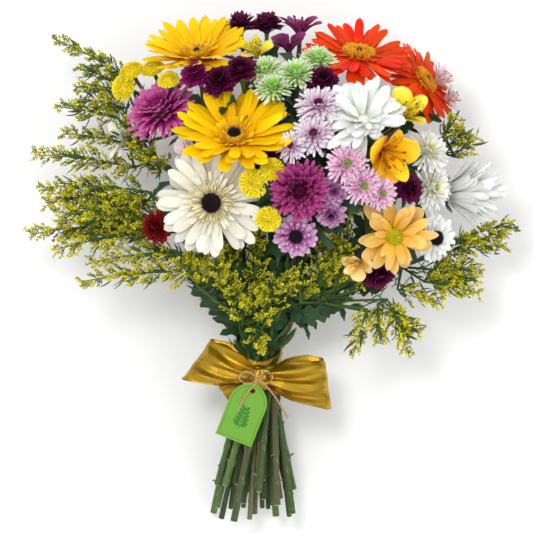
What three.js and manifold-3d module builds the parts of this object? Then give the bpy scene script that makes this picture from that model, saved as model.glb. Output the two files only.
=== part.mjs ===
// A hand-tied bouquet of mixed cut flowers, laid on its back on a table, with its face up.
// Millimetres. +X is to the right of its face, +Y runs from the cut stem ends to the flowers, +Z is up.
// The blooms are placed from the tie, where all the stems are bound, and the table is at Z = 0.
import * as THREE from "three";
import { mergeVertices } from "three/addons/utils/BufferGeometryUtils.js";
import Module from "manifold-3d";

const wasm = await Module();
wasm.setup();
const { Manifold, Mesh: SolidMesh } = wasm;

// Driving dimensions.
const TIE_HEIGHT = 60;
const AXIS_RISE = 0.276;
const AXIS_LEAN = 0.03;
const STEM_RADIUS = 2.9;
const BINDING = 5;
const TWIG_RADIUS = 1.5;
const SHORTEST_TAIL = 88;
const LONGEST_TAIL = 127;
const AIR_GAP = 0.35;
const RIBBON_WIDTH = 40;
const RIBBON_THICKNESS = 0.9;
const TWINE_RADIUS = 0.9;
const TAG_WIDTH = 31;
const TAG_HEIGHT = 50;
const TAG_THICKNESS = 0.8;

const COLOURS = {
  green: { color: 0x35582c, roughness: 0.7 },
  yellow: { color: 0xffc912, roughness: 0.55 },
  butter: { color: 0xf5dd4a, roughness: 0.55 },
  white: { color: 0xf2f1ea, roughness: 0.55 },
  cream: { color: 0xe9e3bb, roughness: 0.55 },
  red: { color: 0xe5260c, roughness: 0.5 },
  peach: { color: 0xf3b04f, roughness: 0.55 },
  orange: { color: 0xf6a708, roughness: 0.5 },
  pink: { color: 0xdfa0d2, roughness: 0.6 },
  blush: { color: 0xe8d3da, roughness: 0.6 },
  lilac: { color: 0xb668b8, roughness: 0.6 },
  magenta: { color: 0xb01c80, roughness: 0.55 },
  purple: { color: 0x7c2160, roughness: 0.55 },
  burgundy: { color: 0x4a0c2c, roughness: 0.6 },
  wine: { color: 0x7b0f1c, roughness: 0.6 },
  lime: { color: 0xcfe0a0, roughness: 0.6 },
  lemon: { color: 0xf2e21a, roughness: 0.6 },
  goldenrod: { color: 0xa3ab1e, roughness: 0.75 },
  black: { color: 0x170a16, roughness: 0.8 },
  satin: { color: 0xa8801a, roughness: 0.3, metalness: 0.1 },
  jute: { color: 0xb98d52, roughness: 0.9 },
  card: { color: 0x5fb53f, roughness: 0.6 },
};

// Every bloom: the middle of its face, the way it faces in degrees (azimuth round +Z from +X, then tilt
// from +Z), and the radius of its spread petals. "lift" raises all petals, then those on the far side only,
// in degrees. Blooms with one node name have grown together, and a branch leaves the stem of the nearest
// bloom above it in the table that has its own.
const BLOOMS = [
  { node: "gerbera_yellow_front", kind: "gerbera", colour: "yellow",
    at: [-19, 190, 170], faces: [92, 46], radius: 49,
    lift: [12, 0] },
  { node: "gerbera_white", kind: "gerbera", colour: "white",
    at: [-37, 135, 166], faces: [205, 14], radius: 44 },
  { node: "mum_magenta_front", kind: "mum", colour: "magenta",
    at: [33, 144, 190], faces: [260, 8], radius: 25 },
  { node: "mum_magenta_small", kind: "mum", colour: "magenta", at: [9, 173, 168], faces: [60, 24], radius: 13,
    branch: true },
  { node: "mum_magenta_left", kind: "mum", colour: "magenta",
    at: [-80, 212, 134], faces: [125, 48], radius: 31,
    branch: true },
  { node: "mum_wine_left", kind: "mum", colour: "wine", at: [-82, 115, 130], faces: [205, 42], radius: 15,
    branch: true },
  { node: "back_mum_magenta", kind: "mum", colour: "magenta",
    at: [98, 202, 10.4], faces: [350, 152], radius: 23,
    branch: true },
  { node: "mums_pink_upper", kind: "mum", colour: "pink", at: [48, 214, 178], faces: [100, 36], radius: 20 },
  { node: "mums_pink_upper", kind: "mum", colour: "pink", at: [44, 190, 184], faces: [110, 22], radius: 19,
    branch: true },
  { node: "mums_pink_upper", kind: "mum", colour: "pink", at: [26, 180, 187], faces: [150, 26], radius: 14,
    branch: true },
  { node: "mums_pink_lower", kind: "mum", colour: "pink", at: [71, 166, 191], faces: [60, 12], radius: 18,
    branch: true },
  { node: "mums_pink_lower", kind: "mum", colour: "pink", at: [84, 148, 190], faces: [330, 16], radius: 17,
    branch: true },
  { node: "mums_pink_lower", kind: "mum", colour: "pink", at: [99, 142, 184], faces: [0, 26], radius: 14,
    branch: true },
  { node: "back_mum_pink", kind: "mum", colour: "pink", at: [24, 238, 26], faces: [90, 140], radius: 23,
    branch: true },
  { node: "mum_white_large", kind: "shaggy", colour: "white",
    at: [84, 203, 179], faces: [85, 34], radius: 35 },
  { node: "mum_white_side", kind: "funnel", colour: "white", at: [190, 145, 112], faces: [4, 76], radius: 40,
    branch: true },
  { node: "mums_white_pair", kind: "mum", colour: "white", at: [137, 178, 148], faces: [40, 42], radius: 20,
    branch: true },
  { node: "mums_white_pair", kind: "mum", colour: "white", at: [141, 148, 144], faces: [5, 45], radius: 21,
    branch: true },
  { node: "back_mum_white", kind: "mum", colour: "white", at: [-54, 198, 10.6], faces: [190, 150], radius: 23,
    branch: true },
  { node: "mums_lilac", kind: "mum", colour: "lilac", at: [60, 144, 182], faces: [300, 10], radius: 13 },
  { node: "mums_lilac", kind: "mum", colour: "lilac", at: [58, 125, 178], faces: [280, 25], radius: 13,
    branch: true },
  { node: "anemone_mum_lilac", kind: "anemone", colour: "lilac",
    at: [30, 108, 172], faces: [270, 16], radius: 18,
    branch: true },
  { node: "daisy_mum_peach", kind: "daisy", colour: "peach",
    at: [109, 108, 160], faces: [300, 18], radius: 32 },
  { node: "anemone_mum_white", kind: "anemone", colour: "white",
    at: [143, 107, 128], faces: [350, 38], radius: 20,
    branch: true },
  { node: "lily_orange", kind: "lily", colour: "orange", at: [108, 171, 182], faces: [330, 30], radius: 30 },
  { node: "lily_peach_low", kind: "lily", colour: "peach", at: [78, 84, 150], faces: [235, 36], radius: 15,
    branch: true },
  { node: "lily_yellow", kind: "lily", colour: "butter", at: [123, 211, 164], faces: [55, 42], radius: 23,
    branch: true },
  { node: "lilies_blush", kind: "lily", colour: "blush", at: [153, 238, 88], faces: [30, 70], radius: 17,
    branch: true },
  { node: "lilies_blush", kind: "lily", colour: "blush", at: [160, 222, 88], faces: [20, 74], radius: 15,
    branch: true },
  { node: "buttons_front", kind: "button", colour: "lemon",
    at: [-4, 150, 186], faces: [200, 10], radius: 12 },
  { node: "buttons_front", kind: "button", colour: "lemon", at: [12, 162, 184], faces: [60, 18], radius: 10,
    branch: true },
  { node: "button_low", kind: "button", colour: "lemon", at: [8, 121, 180], faces: [250, 16], radius: 10.5,
    branch: true },
  { node: "buttons_left", kind: "button", colour: "lemon", at: [-103, 243, 112], faces: [120, 60], radius: 11,
    branch: true },
  { node: "buttons_left", kind: "button", colour: "lemon", at: [-85, 245, 118], faces: [110, 60], radius: 10,
    branch: true },
  { node: "buttons_left", kind: "button", colour: "lemon", at: [-110, 229, 112], faces: [160, 36], radius: 11,
    branch: true },
  { node: "button_upper", kind: "button", colour: "lemon", at: [-72, 235, 145], faces: [105, 46], radius: 9,
    branch: true },
  { node: "back_mum_yellow", kind: "shaggy", colour: "yellow",
    at: [24, 160, 14], faces: [270, 170], radius: 32,
    branch: true },
  { node: "mum_burgundy_low", kind: "mum", colour: "burgundy",
    at: [96, 78, 132], faces: [290, 46], radius: 17 },
  { node: "mum_burgundy_side", kind: "mum", colour: "burgundy",
    at: [121, 146, 166], faces: [0, 30], radius: 13,
    branch: true },
  { node: "gerbera_yellow_back", kind: "gerbera", colour: "yellow",
    at: [-49, 257, 122], faces: [97, 58], radius: 43,
    lift: [16, -8] },
  { node: "gerbera_red_back", kind: "gerbera", colour: "red", at: [81, 257, 124], faces: [82, 68], radius: 44,
    lift: [1, 13] },
  { node: "gerbera_red_side", kind: "gerbera", colour: "red", at: [136, 236, 98], faces: [35, 68], radius: 37,
    lift: [-12, 12] },
  { node: "mums_green", kind: "mum", colour: "lime", at: [31, 240, 158], faces: [90, 48], radius: 18 },
  { node: "mums_green", kind: "mum", colour: "lime", at: [12, 229, 162], faces: [100, 44], radius: 17,
    branch: true },
  { node: "mums_green", kind: "mum", colour: "lime", at: [48, 252, 148], faces: [85, 54], radius: 16,
    branch: true },
  { node: "mums_green", kind: "mum", colour: "lime", at: [5, 243, 152], faces: [105, 50], radius: 16,
    branch: true },
  { node: "mums_burgundy_mid", kind: "mum", colour: "burgundy",
    at: [-14, 242, 158], faces: [100, 46], radius: 15 },
  { node: "mums_burgundy_mid", kind: "mum", colour: "burgundy",
    at: [-31, 233, 158], faces: [110, 42], radius: 16,
    branch: true },
  { node: "mums_burgundy_mid", kind: "mum", colour: "burgundy",
    at: [-50, 238, 154], faces: [112, 42], radius: 14,
    branch: true },
  { node: "mum_burgundy_right", kind: "mum", colour: "burgundy",
    at: [51, 233, 160], faces: [80, 42], radius: 16,
    branch: true },
  { node: "mums_burgundy_top", kind: "mum", colour: "burgundy",
    at: [-14, 281, 100], faces: [94, 74], radius: 15,
    branch: true },
  { node: "mums_burgundy_top", kind: "mum", colour: "burgundy",
    at: [7, 281, 102], faces: [90, 74], radius: 15,
    branch: true },
  { node: "lilies_purple", kind: "lily", colour: "purple", at: [34, 284, 106], faces: [88, 80], radius: 19 },
  { node: "lilies_purple", kind: "lily", colour: "purple", at: [24, 268, 120], faces: [95, 66], radius: 17,
    branch: true },
  { node: "lily_lemon", kind: "lily", colour: "butter", at: [-2, 262, 132], faces: [100, 62], radius: 15,
    branch: true },
  { node: "lily_cream_left", kind: "lily", colour: "cream",
    at: [-117, 188, 104], faces: [172, 60], radius: 19,
    branch: true },
  { node: "lily_dusty", kind: "lily", colour: "blush", at: [-56, 178, 146], faces: [150, 40], radius: 17,
    branch: true },
];

// Every goldenrod spray: where its stem forks, then the root and the tip of each plume, and how full it is.
const SPRAYS = [
  { node: "goldenrod_left_upper", fork: [-82, 172, 80], plumes: [
    [[-104, 236, 86], [-165, 268, 88], 1.1],
    [[-104, 222, 90], [-147, 229, 100], 1.2],
    [[-108, 202, 84], [-162, 213, 96], 1.3],
    [[-100, 164, 88], [-180, 174, 92], 1.5],
    [[-78, 160, 110], [-90, 178, 130], 1.5],
    [[-98, 180, 98], [-110, 200, 116], 1.4],
  ] },
  { node: "goldenrod_left_lower", fork: [-62, 112, 84], branch: true, plumes: [
    [[-86, 144, 108], [-174, 148, 110], 1.6],
    [[-94, 132, 92], [-172, 136, 82], 1.4],
    [[-86, 120, 112], [-164, 128, 118], 1.6],
    [[-90, 118, 84], [-184, 110, 80], 1.5],
    [[-80, 112, 100], [-162, 98, 100], 1.6],
    [[-52, 80, 106], [-142, 72, 104], 1.5],
  ] },
  { node: "goldenrod_front_left", fork: [-12, 40, 96], plumes: [
    [[-48, 68, 116], [-62, 92, 134], 1.7],
    [[-30, 70, 122], [-36, 98, 142], 1.7],
    [[-12, 42, 112], [-20, 68, 130], 1.8],
    [[8, 46, 116], [16, 76, 138], 1.8],
    [[2, 32, 108], [-3, 20, 118], 1.6],
  ] },
  { node: "goldenrod_front_right", fork: [48, 56, 98], branch: true, plumes: [
    [[34, 56, 118], [32, 82, 142], 1.7],
    [[60, 66, 120], [72, 102, 144], 1.7],
    [[88, 50, 112], [77, 14, 104], 1.2],
    [[104, 58, 106], [121, 14, 92], 1.3],
    [[110, 44, 92], [130, 31, 84], 1.2],
  ] },
  { node: "goldenrod_back", fork: [22, 92, 40], branch: true, plumes: [
    [[-12, 120, 30], [-70, 146, 14], 1.2],
    [[54, 118, 28], [110, 144, 12], 1.2],
    [[-30, 104, 44], [-96, 136, 36], 1.2],
    [[66, 100, 44], [132, 124, 36], 1.2],
  ] },
  { node: "goldenrod_right", fork: [116, 84, 88], plumes: [
    [[140, 82, 90], [176, 72, 82], 1.4],
    [[134, 72, 98], [178, 62, 94], 1.3],
    [[150, 96, 72], [199, 101, 66], 1.4],
    [[170, 110, 74], [208, 118, 80], 1.3],
    [[112, 66, 106], [146, 56, 110], 1.4],
  ] },
  { node: "goldenrod_right_top", fork: [138, 176, 74], branch: true, plumes: [
    [[150, 190, 90], [160, 204, 112], 1.3],
    [[158, 174, 84], [178, 188, 96], 1.3],
  ] },
];

// Lobed leaves of the chrysanthemum stems: root, tip, and the way the face looks (azimuth, tilt).
const LEAVES = [
  { root: [-14, 40, 78], tip: [-50, 66, 96], faces: [200, 40] },
  { root: [12, 40, 84], tip: [30, 70, 106], faces: [270, 40] },
  { root: [22, 44, 76], tip: [66, 50, 84], faces: [320, 40] },
  { root: [-2, 40, 86], tip: [-14, 74, 112], faces: [260, 44] },
  { root: [34, 46, 78], tip: [74, 60, 92], faces: [310, 34] },
  { root: [-24, 44, 74], tip: [-58, 80, 96], faces: [210, 40] },
  { root: [16, 44, 50], tip: [66, 76, 30], faces: [330, 150] },
  { root: [-16, 44, 50], tip: [-56, 80, 32], faces: [200, 150] },
  { root: [4, 46, 46], tip: [14, 96, 24], faces: [270, 150] },
  { root: [60, 80, 84], tip: [100, 64, 88], faces: [290, 30] },
  { root: [-50, 80, 70], tip: [-88, 98, 72], faces: [230, 60] },
  { root: [60, 60, 56], tip: [102, 90, 46], faces: [300, 120] },
];

// Angles are in degrees up to the point where they are used.
const radians = THREE.MathUtils.degToRad;
const vector = (x, y, z) => new THREE.Vector3(x, y, z);
const AXIS = vector(AXIS_LEAN, 1, AXIS_RISE).normalize();
const ACROSS = vector(1, 0, 0).addScaledVector(AXIS, -AXIS.x).normalize();
const OUTWARD = vector(0, 0, 0).crossVectors(ACROSS, AXIS);
const TIE = vector(0, 0, TIE_HEIGHT);

function seededRandom(seed) {
  let state = seed * 2654435761 >>> 0;
  return () => {
    state = state + 0x6d2b79f5 >>> 0;
    let mixed = Math.imul(state ^ state >>> 15, state | 1);
    mixed = mixed + Math.imul(mixed ^ mixed >>> 7, mixed | 61) ^ mixed;
    return ((mixed ^ mixed >>> 14) >>> 0) / 4294967296;
  };
}

// A mesh being sewn together. Rings are lists of points, counter-clockwise seen from the growing end.
function newSkin() {
  const points = [];
  const triangles = [];
  const ring = (list) => list.map((point) => points.push(point) - 1);
  const face = (...corners) => triangles.push(...corners);
  const wall = (low, high) => low.forEach((a, i) => {
    const next = (i + 1) % low.length;
    face(a, low[next], high[next]);
    face(a, high[next], high[i]);
  });
  const peak = (low, tip) => {
    const [top] = ring([tip]);
    low.forEach((a, i) => face(a, low[(i + 1) % low.length], top));
  };
  const start = (low) => {
    for (let i = 2; i < low.length; i += 1) {
      face(low[1], low[(i + 1) % low.length], low[i]);
    }
  };
  const end = (high) => {
    for (let i = 2; i < high.length; i += 1) {
      face(high[1], high[i], high[(i + 1) % high.length]);
    }
  };
  const solid = () => new Manifold(new SolidMesh({
    numProp: 3,
    vertProperties: new Float32Array(points.flatMap((point) => [point.x, point.y, point.z])),
    triVerts: new Uint32Array(triangles),
  }));
  return { ring, face, wall, peak, start, end, solid };
}

// A closed piece over a row of rings, ending flat or in a tip.
function loft(rings, tip) {
  const skin = newSkin();
  const rows = rings.map(skin.ring);
  skin.start(rows[0]);
  rows.slice(1).forEach((row, i) => skin.wall(rows[i], row));
  if (tip) {
    skin.peak(rows.at(-1), tip);
  } else {
    skin.end(rows.at(-1));
  }
  return skin.solid();
}

// A stack of rings, each turned half a step on from the one below, so that every band is a zigzag of
// triangles. "growth" may send a petal or a bud, as { rings, tip }, out of any triangle that stands on its
// point.
function zigzag(rings, tip, growth) {
  const skin = newSkin();
  const rows = rings.map(skin.ring);
  skin.start(rows[0]);
  for (let band = 1; band < rows.length; band += 1) {
    const low = rows[band - 1];
    const high = rows[band];
    for (let i = 0; i < low.length; i += 1) {
      skin.face(low[i], low[(i + 1) % low.length], high[i]);
      const root = [high[i], high[(i + low.length - 1) % low.length], low[i]];
      const grown = growth(band, i);
      if (grown) {
        const steps = [root, ...grown.rings.map(skin.ring)];
        steps.slice(1).forEach((step, k) => skin.wall(steps[k], step));
        skin.peak(steps.at(-1), grown.tip);
      } else {
        skin.face(...root);
      }
    }
  }
  if (tip) {
    skin.peak(rows.at(-1), tip);
  } else {
    skin.end(rows.at(-1));
  }
  return skin.solid();
}

// A stalk along a path, with a radius at each of its points.
function tube(path, radii, sides, grow = 0) {
  const rings = [];
  let side = null;
  path.forEach((point, i) => {
    const before = path[Math.max(i - 1, 0)];
    const after = path[Math.min(i + 1, path.length - 1)];
    const forward = vector(0, 0, 0);
    if (i > 0) {
      forward.add(vector(0, 0, 0).subVectors(point, before).normalize());
    }
    if (i < path.length - 1) {
      forward.add(vector(0, 0, 0).subVectors(after, point).normalize());
    }
    forward.normalize();
    if (!side) {
      side = Math.abs(forward.z) < 0.9 ? vector(0, 0, 1) : vector(1, 0, 0);
    }
    side = side.clone().addScaledVector(forward, -side.dot(forward)).normalize();
    const other = vector(0, 0, 0).crossVectors(forward, side);
    let centre = point;
    if (i === 0) {
      centre = point.clone().addScaledVector(forward, -grow);
    } else if (i === path.length - 1) {
      centre = point.clone().addScaledVector(forward, grow);
    }
    const ring = [];
    for (let k = 0; k < sides; k += 1) {
      const angle = 2 * Math.PI * k / sides;
      ring.push(centre.clone()
        .addScaledVector(side, Math.cos(angle) * (radii[i] + grow))
        .addScaledVector(other, Math.sin(angle) * (radii[i] + grow)));
    }
    rings.push(ring);
  });
  return loft(rings);
}

// A turned piece: rings of [radius, height], notched all round by a share of the radius if bumpy.
function turned({ stations, tip, sides, bump = 0 }, grow = 0) {
  const last = stations.length - 1;
  const rings = stations.map(([radius, height], step) => {
    const ring = [];
    for (let i = 0; i < sides; i += 1) {
      const angle = 2 * Math.PI * i / sides;
      const reach = radius * (1 + ((i + step) % 2 ? bump : -bump)) + grow;
      const rise = step === last ? grow : 0;
      const level = height + (step === 0 ? -grow : rise);
      ring.push(vector(Math.cos(angle) * reach, Math.sin(angle) * reach, level));
    }
    return ring;
  });
  return loft(rings, tip === undefined ? undefined : vector(0, 0, tip + grow));
}

// The place and the slope at a share of a petal's length. "rise" is its slope at the root and at the tip.
function course({ start, height, length, rise }, share) {
  const first = radians(rise[0]);
  const bend = radians(rise[1]) - first || 1e-6;
  return {
    x: start + length * (Math.sin(first + bend * share) - Math.sin(first)) / bend,
    z: height + length * (Math.cos(first) - Math.cos(first + bend * share)) / bend,
    slope: first + bend * share,
  };
}

// Petal and leaf outlines: share of the length, then share of the greatest width. Each ends in a tip.
const LONG = [[0.8, 1]];
const POINTED = [[0.62, 1]];
const ROUNDED = [[0.45, 0.85], [0.8, 1]];
const LOBED = [[0, 0.1], [0.26, 0.8], [0.42, 0.4], [0.64, 1]];

// How each kind of bloom is built. Lengths are shares of the bloom's radius, and heights are from the middle
// of its face. The middle is a stack of rings as [radius, height], and a layer of petals grows out of each
// of its bands.
const KINDS = {
  gerbera: () => ({
    depth: 0.22,
    cup: 0.15,
    sides: 15,
    middle: [[0.16, -0.22], [0.22, -0.12], [0.23, -0.05]],
    layers: [
      { reach: 1, width: 0.3, rise: [6, -3], outline: LONG },
      { reach: 0.8, width: 0.24, rise: [20, 8], outline: LONG },
    ],
    disc: { sides: 12, stations: [[0.17, -0.04], [0.2, 0.01], [0.11, 0.06]], bump: 0.07 },
    discColour: "black",
  }),
  mum: (radius) => {
    if (radius < 20) {
      return {
        depth: 0.5,
        cup: 0.24,
        sides: radius < 17 ? 6 : 7,
        middle: [[0.24, -0.5], [0.34, -0.22], [0.26, 0.04]],
        tip: 0.2,
        layers: [
          { reach: 1, width: radius < 17 ? 0.64 : 0.56, rise: [8, 0], outline: POINTED },
          { reach: 0.66, width: radius < 17 ? 0.5 : 0.44, rise: [40, 30], outline: POINTED },
        ],
      };
    }
    return {
      depth: 0.5,
      cup: 0.24,
      sides: radius < 24 ? 7 : 10,
      middle: [[0.24, -0.5], [0.34, -0.28], [0.3, -0.08], [0.2, 0.06]],
      tip: 0.16,
      layers: [
        { reach: 1, width: radius < 24 ? 0.6 : 0.42, rise: [6, 0], outline: POINTED },
        { reach: 0.78, width: radius < 24 ? 0.46 : 0.36, rise: [30, 20], outline: POINTED },
        { reach: 0.42, width: radius < 24 ? 0.27 : 0.2, rise: [60, 56], outline: POINTED },
      ],
    };
  },
  shaggy: () => ({
    depth: 0.36,
    cup: 0.18,
    sides: 10,
    middle: [[0.17, -0.36], [0.23, -0.2], [0.2, -0.08], [0.12, 0]],
    tip: 0.08,
    layers: [
      { reach: 1, width: 0.32, rise: [4, -8], outline: LONG },
      { reach: 0.84, width: 0.28, rise: [22, 8], outline: LONG },
      { reach: 0.5, width: 0.22, rise: [46, 34], outline: POINTED },
    ],
  }),
  funnel: () => ({
    depth: 1.05,
    cup: 0.2,
    sides: 9,
    middle: [[0.16, -1.05], [0.24, -0.9], [0.2, -0.8], [0.12, -0.72]],
    tip: -0.66,
    layers: [
      { reach: 0.66, width: 0.26, rise: [64, 50], outline: LONG },
      { reach: 0.42, width: 0.17, rise: [76, 64], outline: LONG },
      { reach: 0.22, width: 0.08, rise: [84, 80], outline: POINTED },
    ],
  }),
  anemone: () => ({
    depth: 0.46,
    cup: 0.24,
    sides: 11,
    middle: [[0.24, -0.46], [0.34, -0.24], [0.38, -0.12]],
    layers: [
      { reach: 1, width: 0.42, rise: [6, -2], outline: POINTED },
      { reach: 0.82, width: 0.36, rise: [24, 12], outline: POINTED },
    ],
    disc: { sides: 10, stations: [[0.3, -0.1], [0.33, 0.03], [0.2, 0.16]], bump: 0.1 },
    discColour: "black",
  }),
  daisy: () => ({
    depth: 0.3,
    cup: 0.18,
    sides: 12,
    middle: [[0.18, -0.3], [0.25, -0.16], [0.27, -0.08]],
    layers: [
      { reach: 1, width: 0.3, rise: [5, -4], outline: LONG },
      { reach: 0.72, width: 0.22, rise: [26, 14], outline: POINTED, every: 2 },
    ],
    disc: { sides: 10, stations: [[0.2, -0.06], [0.24, 0.02], [0.13, 0.08]], bump: 0.08 },
    discColour: "lemon",
  }),
  lily: () => ({
    depth: 0.9,
    cup: 0.14,
    sides: 3,
    middle: [[0.2, -0.9], [0.24, -0.62], [0.2, -0.5]],
    tip: -0.34,
    layers: [
      { reach: 1, width: 0.74, rise: [56, 6], outline: ROUNDED },
      { reach: 0.8, width: 0.46, rise: [64, 26], outline: ROUNDED },
    ],
  }),
  button: () => ({
    depth: 0.74,
    cup: 0.28,
    sides: 9,
    middle: [[0.5, -0.74], [0.98, -0.34], [0.94, 0], [0.6, 0.24]],
    tip: 0.32,
    layers: [],
    bump: 0.09,
  }),
};

// The bloom's own axes as a matrix: +Z is the way it faces, +Y is the far side of its lean.
function bloomFrame({ at, faces }) {
  const [azimuth, tilt] = faces.map(radians);
  const lean = new THREE.Euler(0, tilt, azimuth, "ZYX");
  const ahead = vector(0, 0, 1).applyEuler(lean);
  const far = vector(1, 0, 0).applyEuler(lean);
  const side = vector(0, 0, 0).crossVectors(far, ahead);
  return new THREE.Matrix4().makeBasis(side, far, ahead).setPosition(...at);
}

// One bloom's petals and middle.
function bloomPetals(bloom) {
  const { radius } = bloom;
  const kind = KINDS[bloom.kind](radius);
  const random = seededRandom(BLOOMS.indexOf(bloom) + 1);
  const step = 360 / kind.sides;
  const rings = kind.middle.map(([reach, height], row) => {
    const ring = [];
    for (let i = 0; i < kind.sides; i += 1) {
      const angle = radians((i + row / 2) * step);
      const notched = reach * (1 + (kind.bump ?? 0) * (random() * 2 - 1));
      const point = vector(Math.cos(angle) * notched, Math.sin(angle) * notched, height);
      ring.push(point.multiplyScalar(radius));
    }
    return ring;
  });
  const tip = kind.tip === undefined ? undefined : vector(0, 0, kind.tip * radius);
  return zigzag(rings, tip, (band, i) => {
    const layer = kind.layers[band - 1];
    if (!layer || i % (layer.every ?? 1) > 0) {
      return null;
    }
    const turn = (i + (band - 1) / 2) * step;
    const swing = (random() - 0.5) * 0.1 * step;
    return petal(petalShape(bloom, kind, band, turn, random() - 0.5, random() - 0.5), turn + swing);
  }).transform(bloomFrame(bloom).elements);
}

// The measures of one petal. "tilted" and "stretched" run from -0.5 to 0.5 and make the petals differ.
function petalShape(bloom, kind, band, turn, tilted, stretched) {
  const layer = kind.layers[band - 1];
  const [liftAll, liftFar] = bloom.lift ?? [0, 0];
  const lift = liftAll + liftFar * Math.sin(radians(turn)) + tilted * 5;
  const start = kind.middle[band][0];
  const level = Math.cos(radians((layer.rise[0] + layer.rise[1]) / 2));
  return {
    start: start * bloom.radius,
    height: kind.middle[band][1] * bloom.radius,
    length: (layer.reach - start) / level * bloom.radius * (1 + 0.1 * stretched),
    width: layer.width * bloom.radius,
    thickness: Math.max(0.9, 0.034 * bloom.radius),
    rise: layer.rise.map((slope) => slope + lift),
    outline: layer.outline,
  };
}

// A petal's sections are triangles: two edges and a keel.
function petal(shape, turn) {
  const angle = radians(turn);
  const place = (x, y, z) => vector(
    x * Math.cos(angle) - y * Math.sin(angle),
    x * Math.sin(angle) + y * Math.cos(angle),
    z,
  );
  const rings = shape.outline.map(([share, breadth]) => {
    const { x, z, slope } = course(shape, share);
    const half = shape.width * breadth / 2;
    return [
      place(x, half, z),
      place(x, -half, z),
      place(x + Math.sin(slope) * shape.thickness, 0, z - Math.cos(slope) * shape.thickness),
    ];
  });
  const end = course(shape, 1);
  return { rings, tip: place(end.x, 0, end.z) };
}

// The space a bloom keeps to itself: a turned body round its middle and petals, with the air gap outside.
function bloomRoom(bloom) {
  const { radius } = bloom;
  const kind = KINDS[bloom.kind](radius);
  const sides = 12;
  const round = 1 / Math.cos(Math.PI / sides);
  const ring = (place) => {
    const points = [];
    for (let i = 0; i < sides; i += 1) {
      const turn = 360 * i / sides;
      const { x, z } = place(turn);
      const reach = (x + AIR_GAP) * round;
      points.push(vector(Math.cos(radians(turn)) * reach, Math.sin(radians(turn)) * reach, z));
    }
    return points;
  };
  const [base, ...bands] = kind.middle;
  const rings = [ring(() => ({ x: base[0] * radius, z: base[1] * radius - AIR_GAP }))];
  const layers = kind.layers.length;
  if (layers === 0) {
    bands.forEach(([x, z]) => {
      rings.push(ring(() => ({ x: x * radius * (1 + kind.bump), z: z * radius })));
    });
  } else {
    const edge = (band, share, tilted, up) => ring((turn) => {
      const shape = petalShape(bloom, kind, band, turn, tilted, 0.5);
      const { x, z } = course(shape, share);
      return { x, z: z + (up ? AIR_GAP : -AIR_GAP - shape.thickness) };
    });
    const [[firstShare]] = kind.layers[0].outline;
    rings.push(edge(1, firstShare, -0.5, false), edge(1, 1, -0.5, false), edge(1, 1, 0.5, true));
    for (let band = 2; band <= layers; band += 1) {
      rings.push(edge(band, 1, 0.5, true));
    }
    const [x, z] = kind.disc ? kind.disc.stations.at(-1) : kind.middle.at(-1);
    rings.push(ring(() => ({ x: x * radius, z: z * radius + AIR_GAP })));
  }
  const top = kind.disc ? kind.disc.stations.at(-1)[1] : kind.tip;
  return loft(rings, vector(0, 0, top * radius + AIR_GAP + 0.2)).transform(bloomFrame(bloom).elements);
}

function bloomDisc(bloom, grow) {
  const { disc } = KINDS[bloom.kind](bloom.radius);
  const stations = disc.stations.map((pair) => pair.map((share) => share * bloom.radius));
  return turned({ ...disc, stations }, grow).transform(bloomFrame(bloom).elements);
}

// Where a bloom sits on its stem: the top of the green cup, and the way the stem arrives there.
function seat(bloom) {
  const kind = KINDS[bloom.kind](bloom.radius);
  const frame = bloomFrame(bloom);
  const ahead = vector(frame.elements[8], frame.elements[9], frame.elements[10]);
  const top = vector(...bloom.at).addScaledVector(ahead, 1.2 - kind.depth * bloom.radius);
  return { top, ahead, cup: kind.cup * bloom.radius, neck: Math.max(7, 0.3 * bloom.radius) };
}

// Seats in the tie: a middle one, then rings of them. Below it a ring's stems lean out and round the axis.
const RINGS = [
  { seats: 1, reach: 0 },
  { seats: 6, reach: 6.1 },
  { seats: 12, reach: 12.2 },
];
const TAIL_FLARE = 0.1;
const TAIL_TWIST = 0.22;

// Gives every target above the tie a seat on its own side: the middle ones the inner seats, then by bearing.
function seatStems(targets) {
  const placed = targets.map((target) => {
    const away = target.top.clone().sub(TIE);
    const across = away.dot(ACROSS) - 0.16 * away.dot(AXIS);
    const out = away.dot(OUTWARD) - 0.02 * away.dot(AXIS);
    return { ...target, bearing: Math.atan2(out, across), spread: Math.hypot(across, out) };
  });
  placed.sort((a, b) => a.spread - b.spread);
  let next = 0;
  RINGS.forEach((ring) => {
    const group = placed.slice(next, next + ring.seats);
    next += ring.seats;
    group.sort((a, b) => a.bearing - b.bearing);
    const step = 2 * Math.PI / group.length;
    const offset = group.reduce((sum, target, i) => sum + target.bearing - i * step, 0) / group.length;
    group.forEach((target, i) => {
      const angle = offset + i * step;
      const radial = ACROSS.clone().multiplyScalar(Math.cos(angle)).addScaledVector(OUTWARD, Math.sin(angle));
      const round = OUTWARD.clone().multiplyScalar(Math.cos(angle)).addScaledVector(ACROSS, -Math.sin(angle));
      const share = ring.reach / RINGS.at(-1).reach;
      target.waist = TIE.clone().addScaledVector(radial, ring.reach);
      target.tail = AXIS.clone().negate()
        .addScaledVector(radial, TAIL_FLARE * share)
        .addScaledVector(round, TAIL_TWIST * share);
    });
  });
  return placed;
}

// The point half way along the curve that leaves "from" along "heading" and arrives at "to" along "ahead".
function halfWay(from, heading, to, ahead) {
  const reach = from.distanceTo(to);
  return new THREE.CubicBezierCurve3(
    from,
    from.clone().addScaledVector(heading, 0.3 * reach),
    to.clone().addScaledVector(ahead, -0.3 * reach),
    to,
  ).getPoint(0.5);
}

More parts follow.
